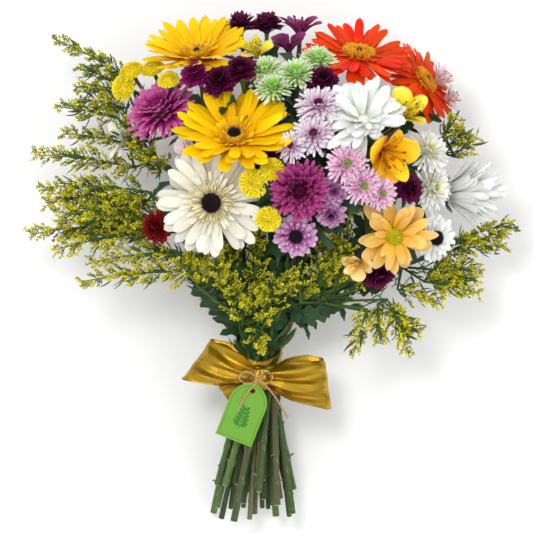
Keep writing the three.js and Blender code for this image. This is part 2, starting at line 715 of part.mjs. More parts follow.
// Every stem and branch as a path with a radius at each point.
function stalks() {
  const targets = [];
  [...BLOOMS.map((bloom) => [bloom, seat(bloom)]), ...SPRAYS.map((spray) => [spray, sprayHub(spray)])]
    .forEach(([{ branch }, place]) => {
      if (branch) {
        targets.at(-1).branches.push(place);
      } else {
        targets.push({ ...place, branches: [] });
      }
    });
  const random = seededRandom(900);
  return seatStems(targets).flatMap((target) => {
    const length = SHORTEST_TAIL + random() * (LONGEST_TAIL - SHORTEST_TAIL);
    const foot = target.waist.clone().addScaledVector(target.tail, length);
    const neck = target.top.clone().addScaledVector(target.ahead, -target.neck);
    const middle = halfWay(target.waist, AXIS, neck, target.ahead);
    const main = {
      path: [foot, target.waist, middle, neck, target.top],
      radii: [STEM_RADIUS, STEM_RADIUS, 2.2, 1.8, target.cup],
      sides: 5,
    };
    const branches = target.branches.map((branch, i) => ({
      path: [
        middle.clone().lerp(neck, 0.5 + 0.4 * i / target.branches.length),
        branch.top.clone().addScaledVector(branch.ahead, -branch.neck),
        branch.top,
      ],
      radii: [TWIG_RADIUS, TWIG_RADIUS, branch.cup],
      sides: 3,
    }));
    return [main, ...branches];
  });
}

// The point nearest to a place on the part of any main stem that is bare of blooms.
function nearestStem(place) {
  let best = null;
  stalks().filter(({ sides }) => sides === 5).forEach(({ path }) => {
    const line = new THREE.Line3(path[1], path[2]);
    const point = line.closestPointToPoint(place, true, vector(0, 0, 0));
    if (!best || point.distanceTo(place) < best.distanceTo(place)) {
      best = point;
    }
  });
  return best;
}

// The stems and leaves. Where they are bound, the bark of all the stems is pressed into one short band.
function stems(grow) {
  const band = [-1, 1].map((way) => TIE.clone().addScaledVector(AXIS, way * BINDING / 2));
  const bound = bundleRadius(0) / Math.cos(Math.PI / 8);
  return Manifold.union([
    tube(band, [bound, bound], 8, grow),
    ...stalks().map(({ path, radii, sides }) => tube(path, radii, sides, grow)),
    ...LEAVES.map((leaf) => leafBlade(leaf, grow)),
  ]);
}

// A lobed leaf from the stem nearest to its root. Its grown form is a plain box section round it.
function leafBlade({ root, tip, faces }, grow) {
  const foot = nearestStem(vector(...root));
  const along = vector(...tip).sub(foot);
  const length = along.length();
  along.normalize();
  const [azimuth, tilt] = faces.map(radians);
  const face = vector(Math.sin(tilt) * Math.cos(azimuth), Math.sin(tilt) * Math.sin(azimuth), Math.cos(tilt));
  face.addScaledVector(along, -face.dot(along)).normalize();
  const side = vector(0, 0, 0).crossVectors(face, along);
  const thickness = 1.2;
  const rise = [12, -14];
  const shape = { start: 0, height: 0, length, rise };
  const rings = LOBED.map(([share, breadth]) => {
    const { x, z, slope } = course(shape, share);
    const half = 0.25 * length * breadth + grow;
    const under = -thickness - grow;
    const point = (across, up) => vector(x - Math.sin(slope) * up, across, z + Math.cos(slope) * up);
    if (grow > 0) {
      return [point(half, grow), point(-half, grow), point(-half, under), point(half, under)];
    }
    return [point(half, 0), point(-half, 0), point(0, under)];
  });
  const end = course(shape, 1 + grow / length);
  return loft(rings, vector(end.x + grow, 0, end.z))
    .transform(new THREE.Matrix4().makeBasis(along, side, face).setPosition(foot).elements);
}

// The swelling that a goldenrod stem ends in, where its plumes fork.
function sprayHub({ fork, plumes }) {
  const top = vector(...fork);
  const ahead = vector(0, 0, 0);
  plumes.forEach(([root]) => {
    ahead.add(vector(...root).sub(top).normalize());
  });
  ahead.normalize();
  return { top, ahead, cup: 1.5, neck: 8 };
}

// The middle line of a plume, sagging a little towards its tip.
function plumeLine([rootAt, tipAt]) {
  const root = vector(...rootAt);
  const tip = vector(...tipAt);
  const sag = 0.06 * root.distanceTo(tip);
  const middle = root.clone().lerp(tip, 0.5).add(vector(0, sag, sag));
  return new THREE.QuadraticBezierCurve3(root, middle, tip);
}

// One plume: a thin three-sided twig from the fork, with a tuft of buds out of every side at every step.
function plume(from, ends, random) {
  const line = plumeLine(ends);
  const full = ends[2];
  const steps = line.getLength() > 64 ? 4 : 3;
  const spots = [from, ...Array.from({ length: steps }, (unused, i) => line.getPoint(i / (steps - 0.4)))];
  const tip = line.getPoint(1);
  const turnAxes = spots.map((spot, i) => {
    const forward = (spots[i + 1] ?? tip).clone().sub(spots[Math.max(i - 1, 0)]).normalize();
    const side = vector(0.2, 0.1, 1).addScaledVector(forward, -forward.dot(vector(0.2, 0.1, 1))).normalize();
    return { forward, side, other: vector(0, 0, 0).crossVectors(forward, side) };
  });
  const around = (row, angle) => turnAxes[row].side.clone().multiplyScalar(Math.cos(angle))
    .addScaledVector(turnAxes[row].other, Math.sin(angle));
  const corner = (row, i) => 2 * Math.PI * (i + row / 2) / 3;
  const rings = spots.map((spot, row) => [0, 1, 2].map((i) => (
    spot.clone().addScaledVector(around(row, corner(row, i)), 1.1 - 0.5 * row / steps)
  )));
  return zigzag(rings, tip, (band, i) => {
    if (band === 1) {
      return null;
    }
    const size = full * (7.5 - 3 * (band - 2) / steps) + random();
    const half = 1.7 * Math.sqrt(full);
    const out = around(band, corner(band, i) - Math.PI / 3);
    const aim = out.clone().multiplyScalar(0.72).addScaledVector(turnAxes[band].forward, 0.7).normalize();
    const across = vector(0, 0, 0).crossVectors(turnAxes[band].forward, out);
    const belly = spots[band].clone().lerp(spots[band - 1], 0.35).addScaledVector(aim, 0.62 * size);
    return {
      rings: [[
        belly.clone().addScaledVector(across, half),
        belly.clone().addScaledVector(across, -half),
        belly.clone().addScaledVector(turnAxes[band].forward, -1.1 * half),
      ]],
      tip: belly.clone().addScaledVector(aim, 0.5 * size),
    };
  });
}

function sprayPlumes(spray) {
  const random = seededRandom(500 + SPRAYS.indexOf(spray));
  const hub = sprayHub(spray);
  const knot = hub.top.clone().addScaledVector(hub.ahead, -1.2);
  const start = hub.top.clone().addScaledVector(hub.ahead, 2);
  const end = hub.top.clone().addScaledVector(hub.ahead, 4);
  return Manifold.union([
    tube([knot, end], [2.8, 2.4], 6),
    ...spray.plumes.map((ends) => plume(start, ends, random)),
  ]);
}

// The space a spray keeps to itself: a spindle round each plume.
function sprayRoom(spray) {
  const start = sprayHub(spray).top;
  return Manifold.union(spray.plumes.map((ends) => {
    const line = plumeLine(ends);
    const widths = [3, 4 + ends[2], 4 + 2 * ends[2], 1];
    return tube([start, line.getPoint(0), line.getPoint(0.45), line.getPoint(1)], widths, 5, AIR_GAP);
  }));
}

// How far the outermost stems reach from the axis of the tie, at a distance along it.
function bundleRadius(along) {
  const { reach } = RINGS.at(-1);
  if (along < 0) {
    return Math.hypot(reach - along * TAIL_FLARE, along * TAIL_TWIST) + STEM_RADIUS;
  }
  return reach + 0.16 * along + STEM_RADIUS;
}

// A point near the tie: along the stems, round them in degrees from +X towards the front, and out.
function nearTie(along, round, reach) {
  return TIE.clone()
    .addScaledVector(AXIS, along)
    .addScaledVector(ACROSS, Math.cos(radians(round)) * reach)
    .addScaledVector(OUTWARD, Math.sin(radians(round)) * reach);
}

// The ribbon's turn round the stems: gathered under the knot, spread out and higher at the back.
const WRAP_SIDES = 16;
function ribbonWrap(grow) {
  const rings = [];
  for (let i = 0; i < WRAP_SIDES; i += 1) {
    const round = 360 * i / WRAP_SIDES + 90;
    const back = 0.5 - 0.5 * Math.cos(radians(round - 90));
    const centre = 2 + 14 * back;
    const half = RIBBON_WIDTH * (0.28 + 0.16 * back);
    const low = centre - half;
    const high = centre + half;
    const clear = 1.3;
    rings.push([
      nearTie(high, round, bundleRadius(high) + clear + RIBBON_THICKNESS + grow),
      nearTie(high, round, bundleRadius(high) + clear - grow),
      nearTie(low, round, bundleRadius(low) + clear - grow),
      nearTie(low, round, bundleRadius(low) + clear + RIBBON_THICKNESS + grow),
    ]);
  }
  const skin = newSkin();
  const rows = rings.map(skin.ring);
  rows.forEach((row, i) => skin.wall(row, rows[(i + 1) % rows.length]));
  return skin.solid();
}

// A strip of ribbon: stations of its middle, the direction across it, and its width there.
function strip(stations, grow) {
  const half = RIBBON_THICKNESS / 2 + grow;
  const rings = stations.map(([middle, across, width], i) => {
    const before = stations[Math.max(i - 1, 0)][0];
    const after = stations[Math.min(i + 1, stations.length - 1)][0];
    const forward = after.clone().sub(before).normalize();
    const side = across.clone().normalize();
    const up = vector(0, 0, 0).crossVectors(forward, side).normalize();
    const corner = (a, b) => middle.clone()
      .addScaledVector(side, a * (width / 2 + grow))
      .addScaledVector(up, b * half);
    return [corner(1, 1), corner(-1, 1), corner(-1, -1), corner(1, -1)];
  });
  return loft(rings);
}

// The bow: two loops that fold over at their far ends, a short tail, and the pleated knot that holds them.
const KNOT = nearTie(-1, 88, bundleRadius(0) + 6);
function bowLoop([outX, outY, outZ], across, bulge, grow) {
  const fold = KNOT.clone().add(vector(outX, outY, outZ));
  const part = (share, lift, width) => [
    KNOT.clone().lerp(fold, share).add(vector(0, 0, lift * bulge)), across, width,
  ];
  return strip([
    part(0.04, 0.25, 9),
    part(0.4, 1, 28),
    part(0.94, 0.7, RIBBON_WIDTH),
    part(1, 0, RIBBON_WIDTH),
    part(0.9, -0.55, RIBBON_WIDTH),
    part(0.4, -0.6, 26),
    part(0.04, -0.25, 9),
  ], grow);
}

function ribbonBow(grow) {
  const at = (x, y, z) => KNOT.clone().add(vector(x, y, z));
  const pleat = [8.5, 6.2, 8.5, 6.2, 8.5, 6.2];
  const ring = (y, size) => pleat.map((reach, i) => {
    const angle = 2 * Math.PI * i / pleat.length;
    return at(-Math.cos(angle) * reach * size, y, Math.sin(angle) * reach * size * 0.62);
  });
  return Manifold.union([
    loft([ring(-8.5, 0.8), ring(0, 1), ring(8.5, 0.8)]),
    bowLoop([-48, 15, -9], vector(0.62, 0.78, 0), 6, grow),
    bowLoop([54, -5, -11], vector(-0.1, 1, 0), 6, grow),
    strip([
      [at(0, -2, -1), vector(0.6, -0.8, 0), 10],
      [at(-11, -9, -2), vector(0.6, -0.8, -0.2), 18],
      [at(-24, -16, -8), vector(0.6, -0.8, -0.2), 26],
    ], grow),
  ]);
}

// The jute string tied over the ribbon's knot: a small bow with two loops, and two ends.
function twine(grow) {
  const at = (x, y, z) => KNOT.clone().add(vector(x, y, z));
  const heart = at(-1, -0.5, 5.9);
  const ways = [
    [heart, at(-9, 6, 8), at(-16, 1, 6.4), at(-7, -3.5, 6.6), heart],
    [heart, at(6, 6, 7.8), at(11, 2, 6.6), at(6, -3.5, 6.4), at(0, -1.5, 6.2)],
    [heart, at(-10, -12, 7.4), at(-21, -33, -4)],
    [heart, at(10, -10, 6), at(21, -28, -7)],
  ];
  return Manifold.union(ways.map((way) => tube(way, way.map(() => TWINE_RADIUS), 4, grow)));
}

// The tag's own axes: +Y up its length to the arched top, +Z out of its face.
const TAG_TOP = vector(-2, -10, 0);
const TAG_FOOT = vector(-20, -56, 0);
function tagFrame() {
  const up = TAG_TOP.clone().setZ(87).sub(TAG_FOOT.clone().setZ(76)).normalize();
  const face = vector(0, 0, 1).addScaledVector(up, -up.z).normalize();
  const side = vector(0, 0, 0).crossVectors(up, face);
  return new THREE.Matrix4().makeBasis(side, up, face).setPosition(TAG_FOOT.x, TAG_FOOT.y, 76);
}

function tag(grow) {
  const half = TAG_WIDTH / 2 + grow;
  const shoulder = 0.66 * TAG_HEIGHT;
  const shape = new THREE.Shape();
  shape.moveTo(-half, -grow);
  shape.lineTo(half, -grow);
  shape.lineTo(half, shoulder);
  shape.bezierCurveTo(half, 0.86 * TAG_HEIGHT, 0.45 * half, TAG_HEIGHT + grow, 0, TAG_HEIGHT + grow);
  shape.bezierCurveTo(-0.45 * half, TAG_HEIGHT + grow, -half, 0.86 * TAG_HEIGHT, -half, shoulder);
  shape.closePath();
  if (grow === 0) {
    const hole = new THREE.Path();
    hole.absarc(0, 0.88 * TAG_HEIGHT, 2.2, 0, 2 * Math.PI, true);
    shape.holes.push(hole);
  }
  const depth = TAG_THICKNESS + 2 * grow;
  const plate = new THREE.ExtrudeGeometry(shape, { depth, bevelEnabled: false, curveSegments: 4 });
  plate.translate(0, 0, -grow);
  return fromGeometry(plate).transform(tagFrame().elements);
}

function fromGeometry(geometry) {
  geometry.deleteAttribute("uv");
  geometry.deleteAttribute("normal");
  const merged = mergeVertices(geometry, 1e-4);
  return new Manifold(new SolidMesh({
    numProp: 3,
    vertProperties: new Float32Array(merged.attributes.position.array),
    triVerts: new Uint32Array(merged.index.array),
  }));
}

// Everything in building order. A later piece is cut back wherever it would come within the air gap of an
// earlier one.
const ground = fromGeometry(new THREE.BoxGeometry(1200, 1200, 400)).translate([0, 0, -200]);
const built = [];

function overlaps(a, b) {
  return [0, 1, 2].every((axis) => a.min[axis] < b.max[axis] && b.min[axis] < a.max[axis]);
}

function add(name, colour, whole, room, own) {
  const box = whole.boundingBox();
  const cutters = built
    .filter((piece) => piece.name !== own && overlaps(piece.box, box))
    .map((piece) => piece.room);
  if (box.min[2] < 0) {
    cutters.push(ground);
  }
  let solid = whole;
  if (cutters.length > 0) {
    [solid] = Manifold.difference([whole, ...cutters]).decompose().sort((a, b) => b.volume() - a.volume());
  }
  built.push({ name, colour, solid, room, box: room.boundingBox() });
}

add("stems", "green", stems(0), stems(AIR_GAP));
const nodes = [...new Set(BLOOMS.map((bloom) => bloom.node))];
nodes.forEach((node) => {
  const blooms = BLOOMS.filter((bloom) => bloom.node === node);
  const [first] = blooms;
  add(node, first.colour, Manifold.union(blooms.map(bloomPetals)), Manifold.union(blooms.map(bloomRoom)));
  const { discColour } = KINDS[first.kind](first.radius);
  if (discColour) {
    add(`${node}_disc`, discColour, bloomDisc(first, 0), bloomDisc(first, AIR_GAP), node);
  }
});
SPRAYS.forEach((spray) => {
  add(spray.node, "goldenrod", sprayPlumes(spray), sprayRoom(spray));
});
add("ribbon_wrap", "satin", ribbonWrap(0), ribbonWrap(AIR_GAP));
add("ribbon_bow", "satin", ribbonBow(0), ribbonBow(AIR_GAP));
add("twine", "jute", twine(0), twine(AIR_GAP));
add("tag", "card", tag(0), tag(AIR_GAP));

const group = new THREE.Group();
group.name = "bouquet";
built.forEach(({ name, colour, solid }) => {
  const { vertProperties, triVerts, numProp } = solid.getMesh();
  const positions = new Float32Array(vertProperties.length / numProp * 3);
  for (let i = 0; i < positions.length / 3; i += 1) {
    positions.set(vertProperties.subarray(i * numProp, i * numProp + 3), i * 3);
  }
  const geometry = new THREE.BufferGeometry();
  geometry.setAttribute("position", new THREE.BufferAttribute(positions, 3));
  geometry.setIndex(new THREE.BufferAttribute(new Uint32Array(triVerts), 1));
  geometry.computeVertexNormals();
  const mesh = new THREE.Mesh(geometry, new THREE.MeshStandardMaterial({ metalness: 0, ...COLOURS[colour] }));
  mesh.name = name;
  group.add(mesh);
});

// The origin goes to the middle of the footprint, on the table.
const footprint = new THREE.Box3().setFromObject(group);
const middle = footprint.getCenter(vector(0, 0, 0));
group.children.forEach((mesh) => {
  mesh.geometry.translate(-middle.x, -middle.y, -footprint.min.z);
});

export default group;
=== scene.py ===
"""How a hand-tied bouquet of mixed cut flowers looks, lying on its back on a pale floor.

Lengths are in millimetres from the point under the tie, where all the stems are bound, until a mesh is made.
+X is to the right of the bouquet's face, +Y runs from the cut stem ends to the flowers, and +Z is up."""
import math

import bpy
import numpy as np
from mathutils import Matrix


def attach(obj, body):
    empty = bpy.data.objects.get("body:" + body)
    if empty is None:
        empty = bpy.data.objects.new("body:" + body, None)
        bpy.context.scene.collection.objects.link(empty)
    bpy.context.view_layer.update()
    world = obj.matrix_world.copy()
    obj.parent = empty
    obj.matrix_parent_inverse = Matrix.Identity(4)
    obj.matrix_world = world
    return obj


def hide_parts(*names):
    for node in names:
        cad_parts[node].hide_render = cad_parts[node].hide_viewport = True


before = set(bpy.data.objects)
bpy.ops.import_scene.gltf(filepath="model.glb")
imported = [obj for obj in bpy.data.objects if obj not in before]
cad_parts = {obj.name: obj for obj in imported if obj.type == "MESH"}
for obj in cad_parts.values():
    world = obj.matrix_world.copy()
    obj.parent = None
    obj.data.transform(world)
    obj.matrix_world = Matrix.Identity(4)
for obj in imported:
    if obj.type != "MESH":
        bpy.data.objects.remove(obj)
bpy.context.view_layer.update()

# The driving sizes and places, as on the solids. The last is a millimetre in metres.
TIE_HEIGHT = 60
AXIS_RISE = 0.276
AXIS_LEAN = 0.03
STEM_RADIUS = 2.9
NECK_RADIUS = 1.8
TWIG_RADIUS = 1.5
SHORTEST_TAIL = 88
LONGEST_TAIL = 127
RIBBON_WIDTH = 40
TAG_WIDTH = 31
TAG_HEIGHT = 50
TAG_THICKNESS = 0.8
MILLIMETRE = 0.001

# Where each row of random draws starts. Blooms and sprays add their number in their table.
SEEDS = {"blooms": 100, "stems": 7, "leaves": 21, "goldenrod": 500, "string": 60, "tag": 80}
SOLIDS_SEED = 900

# Every bloom: its node, kind, colours, the middle of its face, the way it faces (azimuth and tilt, in
# degrees) and its radius. The last entry says whether it sits on a branch of the last main stem above it.
BLOOMS = [
    ("gerbera_yellow_front", "gerbera", "yellow", (-19, 190, 170), (92, 46), 49, False),
    ("gerbera_white", "open_gerbera", "white", (-37, 135, 166), (205, 14), 44, False),
    ("mum_magenta_front", "mum", "magenta", (33, 144, 190), (260, 8), 25, False),
    ("mum_magenta_small", "mum", "plum", (9, 173, 168), (60, 24), 13, True),
    ("mum_magenta_left", "mum", "fuchsia", (-80, 212, 134), (125, 48), 31, True),
    ("mum_wine_left", "double", "wine", (-82, 115, 130), (205, 42), 15, True),
    ("back_mum_magenta", "mum", "magenta", (98, 202, 10.4), (350, 152), 23, True),
    ("mums_pink_upper", "mum", "pink", (48, 214, 178), (100, 36), 20, False),
    ("mums_pink_upper", "mum", "pink", (44, 190, 184), (110, 22), 19, True),
    ("mums_pink_upper", "mum", "pink", (26, 180, 187), (150, 26), 14, True),
    ("mums_pink_lower", "mum", "rose", (71, 166, 191), (60, 12), 18, True),
    ("mums_pink_lower", "mum", "rose", (84, 148, 190), (330, 16), 17, True),
    ("mums_pink_lower", "mum", "rose", (99, 142, 184), (0, 26), 14, True),
    ("back_mum_pink", "mum", "pink", (24, 238, 26), (90, 140), 23, True),
    ("mum_white_large", "shaggy", "snow", (84, 203, 179), (85, 34), 35, False),
    ("mum_white_side", "funnel", "snow", (190, 145, 112), (4, 76), 40, True),
    ("mums_white_pair", "mum", "ivory", (137, 178, 148), (40, 42), 20, True),
    ("mums_white_pair", "mum", "ivory", (141, 148, 144), (5, 45), 21, True),
    ("back_mum_white", "mum", "ivory", (-54, 198, 10.6), (190, 150), 23, True),
    ("mums_lilac", "double", "lilac", (60, 144, 182), (300, 10), 13, False),
    ("mums_lilac", "double", "lilac", (58, 125, 178), (280, 25), 13, True),
    ("anemone_mum_lilac", "anemone", "lilac", (30, 108, 172), (270, 16), 18, True),
    ("daisy_mum_peach", "daisy", "honey", (109, 108, 160), (300, 18), 32, False),
    ("anemone_mum_white", "anemone", "snow", (143, 107, 128), (350, 38), 20, True),
    ("lily_orange", "lily", "orange", (108, 171, 182), (330, 30), 30, False),
    ("lily_peach_low", "lily", "peach", (78, 84, 150), (235, 36), 15, True),
    ("lily_yellow", "lily", "butter", (123, 211, 164), (55, 42), 23, True),
    ("lilies_blush", "lily", "blush", (153, 238, 88), (30, 70), 17, True),
    ("lilies_blush", "lily", "blush", (160, 222, 88), (20, 74), 15, True),
    ("buttons_front", "button", "lemon", (-4, 150, 186), (200, 10), 12, False),
    ("buttons_front", "button", "lemon", (12, 162, 184), (60, 18), 10, True),
    ("button_low", "button", "lemon", (8, 121, 180), (250, 16), 10.5, True),
    ("buttons_left", "button", "lemon", (-103, 243, 112), (120, 60), 11, True),
    ("buttons_left", "button", "lemon", (-85, 245, 118), (110, 60), 10, True),
    ("buttons_left", "button", "lemon", (-110, 229, 112), (160, 36), 11, True),
    ("button_upper", "button", "lemon", (-72, 235, 145), (105, 46), 9, True),
    ("back_mum_yellow", "shaggy", "yellow", (24, 160, 14), (270, 170), 32, True),
    ("mum_burgundy_low", "double", "burgundy", (96, 78, 132), (290, 46), 17, False),
    ("mum_burgundy_side", "double", "burgundy", (121, 146, 166), (0, 30), 13, True),
    ("gerbera_yellow_back", "young_gerbera", "yellow", (-49, 257, 122), (97, 58), 43, False),
    ("gerbera_red_back", "young_gerbera", "red", (81, 257, 124), (82, 68), 44, False),
    ("gerbera_red_side", "young_gerbera", "red", (136, 236, 98), (35, 68), 37, False),
    ("mums_green", "mum", "lime", (31, 240, 158), (90, 48), 18, False),
    ("mums_green", "mum", "lime", (12, 229, 162), (100, 44), 17, True),
    ("mums_green", "mum", "lime", (48, 252, 148), (85, 54), 16, True),
    ("mums_green", "mum", "lime", (5, 243, 152), (105, 50), 16, True),
    ("mums_burgundy_mid", "double", "burgundy", (-14, 242, 158), (100, 46), 15, False),
    ("mums_burgundy_mid", "double", "burgundy", (-31, 233, 158), (110, 42), 16, True),
    ("mums_burgundy_mid", "double", "plum", (-50, 238, 154), (112, 42), 14, True),
    ("mum_burgundy_right", "double", "burgundy", (51, 233, 160), (80, 42), 16, True),
    ("mums_burgundy_top", "double", "burgundy", (-14, 281, 100), (94, 74), 15, True),
    ("mums_burgundy_top", "double", "burgundy", (7, 281, 102), (90, 74), 15, True),
    ("lilies_purple", "lily", "purple", (34, 284, 106), (88, 80), 19, False),
    ("lilies_purple", "lily", "purple", (24, 268, 120), (95, 66), 17, True),
    ("lily_lemon", "lily", "butter", (-2, 262, 132), (100, 62), 15, True),
    ("lily_cream_left", "lily", "ivory", (-117, 188, 104), (172, 60), 19, True),
    ("lily_dusty", "lily", "blush", (-56, 178, 146), (150, 40), 17, True),
]

# How far a bloom's petals are raised, in degrees: all of them, then how much further those on its far side
# are raised, and those on its near side lowered.
LIFTS = {
    "gerbera_yellow_front": (17, 0),
    "gerbera_yellow_back": (17, -4),
    "gerbera_red_back": (1, 13),
    "gerbera_red_side": (-12, 12),
    "lily_orange": (9, 0),
    "mum_white_large": (0, 6),
    "back_mum_yellow": (-14, 0),
    "lily_yellow": (8, 0),
}

# A neighbour that a bloom's petals stop short of: where it is, and how far it reaches.
NEIGHBOURS = {
    "mum_white_large": ((108, 171, 188), 27),
}

# Every goldenrod spray: where its stem forks, then the root and tip of each plume and how full it is, and
# whether the spray is on a branch.
SPRAYS = [
    ("goldenrod_left_upper", (-82, 172, 80), [
        ((-104, 236, 86), (-165, 268, 88), 1.1),
        ((-104, 222, 90), (-147, 229, 100), 1.2),
        ((-108, 202, 84), (-162, 213, 96), 1.3),
        ((-100, 164, 88), (-180, 174, 92), 1.5),
        ((-78, 160, 110), (-90, 178, 130), 1.5),
        ((-98, 180, 98), (-110, 200, 116), 1.4),
    ], False),
    ("goldenrod_left_lower", (-62, 112, 84), [
        ((-86, 144, 108), (-174, 148, 110), 1.6),
        ((-94, 132, 92), (-172, 136, 82), 1.4),
        ((-86, 120, 112), (-164, 128, 118), 1.6),
        ((-90, 118, 84), (-184, 110, 80), 1.5),
        ((-80, 112, 100), (-162, 98, 100), 1.6),
        ((-52, 80, 106), (-142, 72, 104), 1.5),
    ], True),
    ("goldenrod_front_left", (-12, 40, 96), [
        ((-48, 68, 116), (-62, 92, 134), 1.7),
        ((-30, 70, 122), (-36, 98, 142), 1.7),
        ((-12, 42, 112), (-20, 68, 130), 1.8),
        ((8, 46, 116), (16, 76, 138), 1.8),
        ((2, 32, 108), (-3, 20, 118), 1.6),
    ], False),
    ("goldenrod_front_right", (48, 56, 98), [
        ((34, 56, 118), (32, 82, 142), 1.7),
        ((60, 66, 120), (72, 102, 144), 1.7),
        ((88, 50, 112), (77, 14, 104), 1.2),
        ((104, 58, 106), (121, 14, 92), 1.3),
        ((110, 44, 92), (130, 31, 84), 1.2),
    ], True),
    ("goldenrod_back", (22, 92, 40), [
        ((-12, 120, 30), (-70, 146, 14), 1.2),
        ((54, 118, 28), (110, 144, 12), 1.2),
        ((-30, 104, 44), (-96, 136, 36), 1.2),
        ((66, 100, 44), (132, 124, 36), 1.2),
    ], True),
    ("goldenrod_right", (116, 84, 88), [
        ((140, 82, 90), (176, 72, 82), 1.4),
        ((134, 72, 98), (178, 62, 94), 1.3),
        ((150, 96, 72), (199, 101, 66), 1.4),
        ((170, 110, 74), (208, 118, 80), 1.3),
        ((112, 66, 106), (146, 56, 110), 1.4),
    ], False),
    ("goldenrod_right_top", (138, 176, 74), [
        ((150, 190, 90), (160, 204, 112), 1.3),
        ((158, 174, 84), (178, 188, 96), 1.3),
    ], True),
]

# Further plumes of a spray, low between the blooms: root, tip and fullness.
LOW_PLUMES = {
    "goldenrod_front_left": [
        ((-4, 62, 108), (2, 114, 130), 1.3),
        ((-24, 74, 104), (-18, 118, 122), 1.2),
    ],
    "goldenrod_front_right": [
        ((50, 66, 114), (54, 114, 134), 1.5),
        ((70, 70, 116), (68, 120, 132), 1.4),
        ((80, 66, 118), (104, 86, 128), 1.2),
    ],
}

# Large lobed leaves: root, tip, and the way the face looks (azimuth, tilt).
LEAVES = [
    ((-14, 40, 78), (-50, 66, 96), (200, 40)),
    ((12, 40, 84), (30, 70, 106), (270, 40)),
    ((22, 44, 76), (66, 50, 84), (320, 40)),
    ((-2, 40, 86), (-14, 74, 112), (260, 44)),
    ((34, 46, 78), (74, 60, 92), (310, 34)),
    ((-24, 44, 74), (-58, 80, 96), (210, 40)),
    ((16, 44, 50), (66, 76, 30), (330, 150)),
    ((-16, 44, 50), (-56, 80, 32), (200, 150)),
    ((4, 46, 46), (14, 96, 24), (270, 150)),
    ((60, 80, 84), (100, 64, 88), (290, 30)),
    ((-50, 80, 70), (-88, 98, 72), (230, 60)),
    ((60, 60, 56), (102, 90, 46), (300, 120)),
]


# Vectors and curves.
def vector(*values):
    return np.array(values, float)


def unit(direction):
    return direction / np.linalg.norm(direction)


def units(rows):
    """Every row of vectors at a length of one."""
    return rows / np.linalg.norm(rows, axis=1)[:, None]


def distances(path):
    """How far along a path each of its points is."""
    return np.concatenate([[0], np.cumsum(np.linalg.norm(np.diff(path, axis=0), axis=1))])


def map_of(across, along, indexing="xy"):
    """The UV places of a grid, from the places across and along it."""
    return np.stack(np.meshgrid(across, along, indexing=indexing), axis=-1)


def circle(sides, phase=0.0):
    """The cosines and sines of evenly spread bearings."""
    angles = 2 * np.pi * np.arange(sides) / sides + phase
    return np.cos(angles), np.sin(angles)


def along_and_face(along, face):
    """Axes as columns: along a piece, across it, and out of its face."""
    along = unit(along)
    face = unit(face - along * face.dot(along))
    return np.column_stack([along, np.cross(face, along), face])


def facing(azimuth, tilt):
    """A bloom's axes as columns: its side, its far side, and the way it faces."""
    turn, lean = math.radians(azimuth), math.radians(tilt)
    ahead = vector(math.sin(lean) * math.cos(turn), math.sin(lean) * math.sin(turn), math.cos(lean))
    far = vector(math.cos(lean) * math.cos(turn), math.cos(lean) * math.sin(turn), -math.sin(lean))
    return np.column_stack([np.cross(far, ahead), far, ahead])


def bezier(points, steps):
    """Points along the Bezier curve of three or four control points."""
    share = np.linspace(0, 1, steps + 1)[:, None]
    rest = 1 - share
    if len(points) == 3:
        a, b, c = points
        return rest**2 * a + 2 * rest * share * b + share**2 * c
    a, b, c, d = points
    return rest**3 * a + 3 * rest**2 * share * b + 3 * rest * share**2 * c + share**3 * d


def smooth_path(points, steps):
    """A smooth line through points, with some steps between each two of them."""
    points = np.array(points, float)
    tangents = np.gradient(points, axis=0)
    pieces = []
    for i in range(len(points) - 1):
        a, b = points[i], points[i + 1]
        pieces.append(bezier([a, a + tangents[i] / 3, b - tangents[i + 1] / 3, b], steps)[:-1])
    return np.concatenate(pieces + [points[-1:]])


AXIS = unit(vector(AXIS_LEAN, 1, AXIS_RISE))
ACROSS = unit(vector(1, 0, 0) - AXIS * AXIS[0])
OUTWARD = np.cross(ACROSS, AXIS)
TIE = vector(0, 0, TIE_HEIGHT)


def find_origin():
    """Where the point under the tie is in the frame, from the white gerbera's disc, whose place is known."""
    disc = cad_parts["gerbera_white_disc"].data
    points = np.unique(np.round([corner.co for corner in disc.vertices], 6), axis=0) / MILLIMETRE
    (at, faces, radius), = [row[3:6] for row in BLOOMS if row[0] == "gerbera_white"]
    disc_height = 0.01 * radius
    return points.mean(axis=0) - np.array(at) - facing(*faces)[:, 2] * disc_height


ORIGIN = find_origin()


# Meshes.
def new_object(name, data):
    """Makes an object of some data and puts it in the scene."""
    made = bpy.data.objects.new(name, data)
    bpy.context.scene.collection.objects.link(made)
    return made


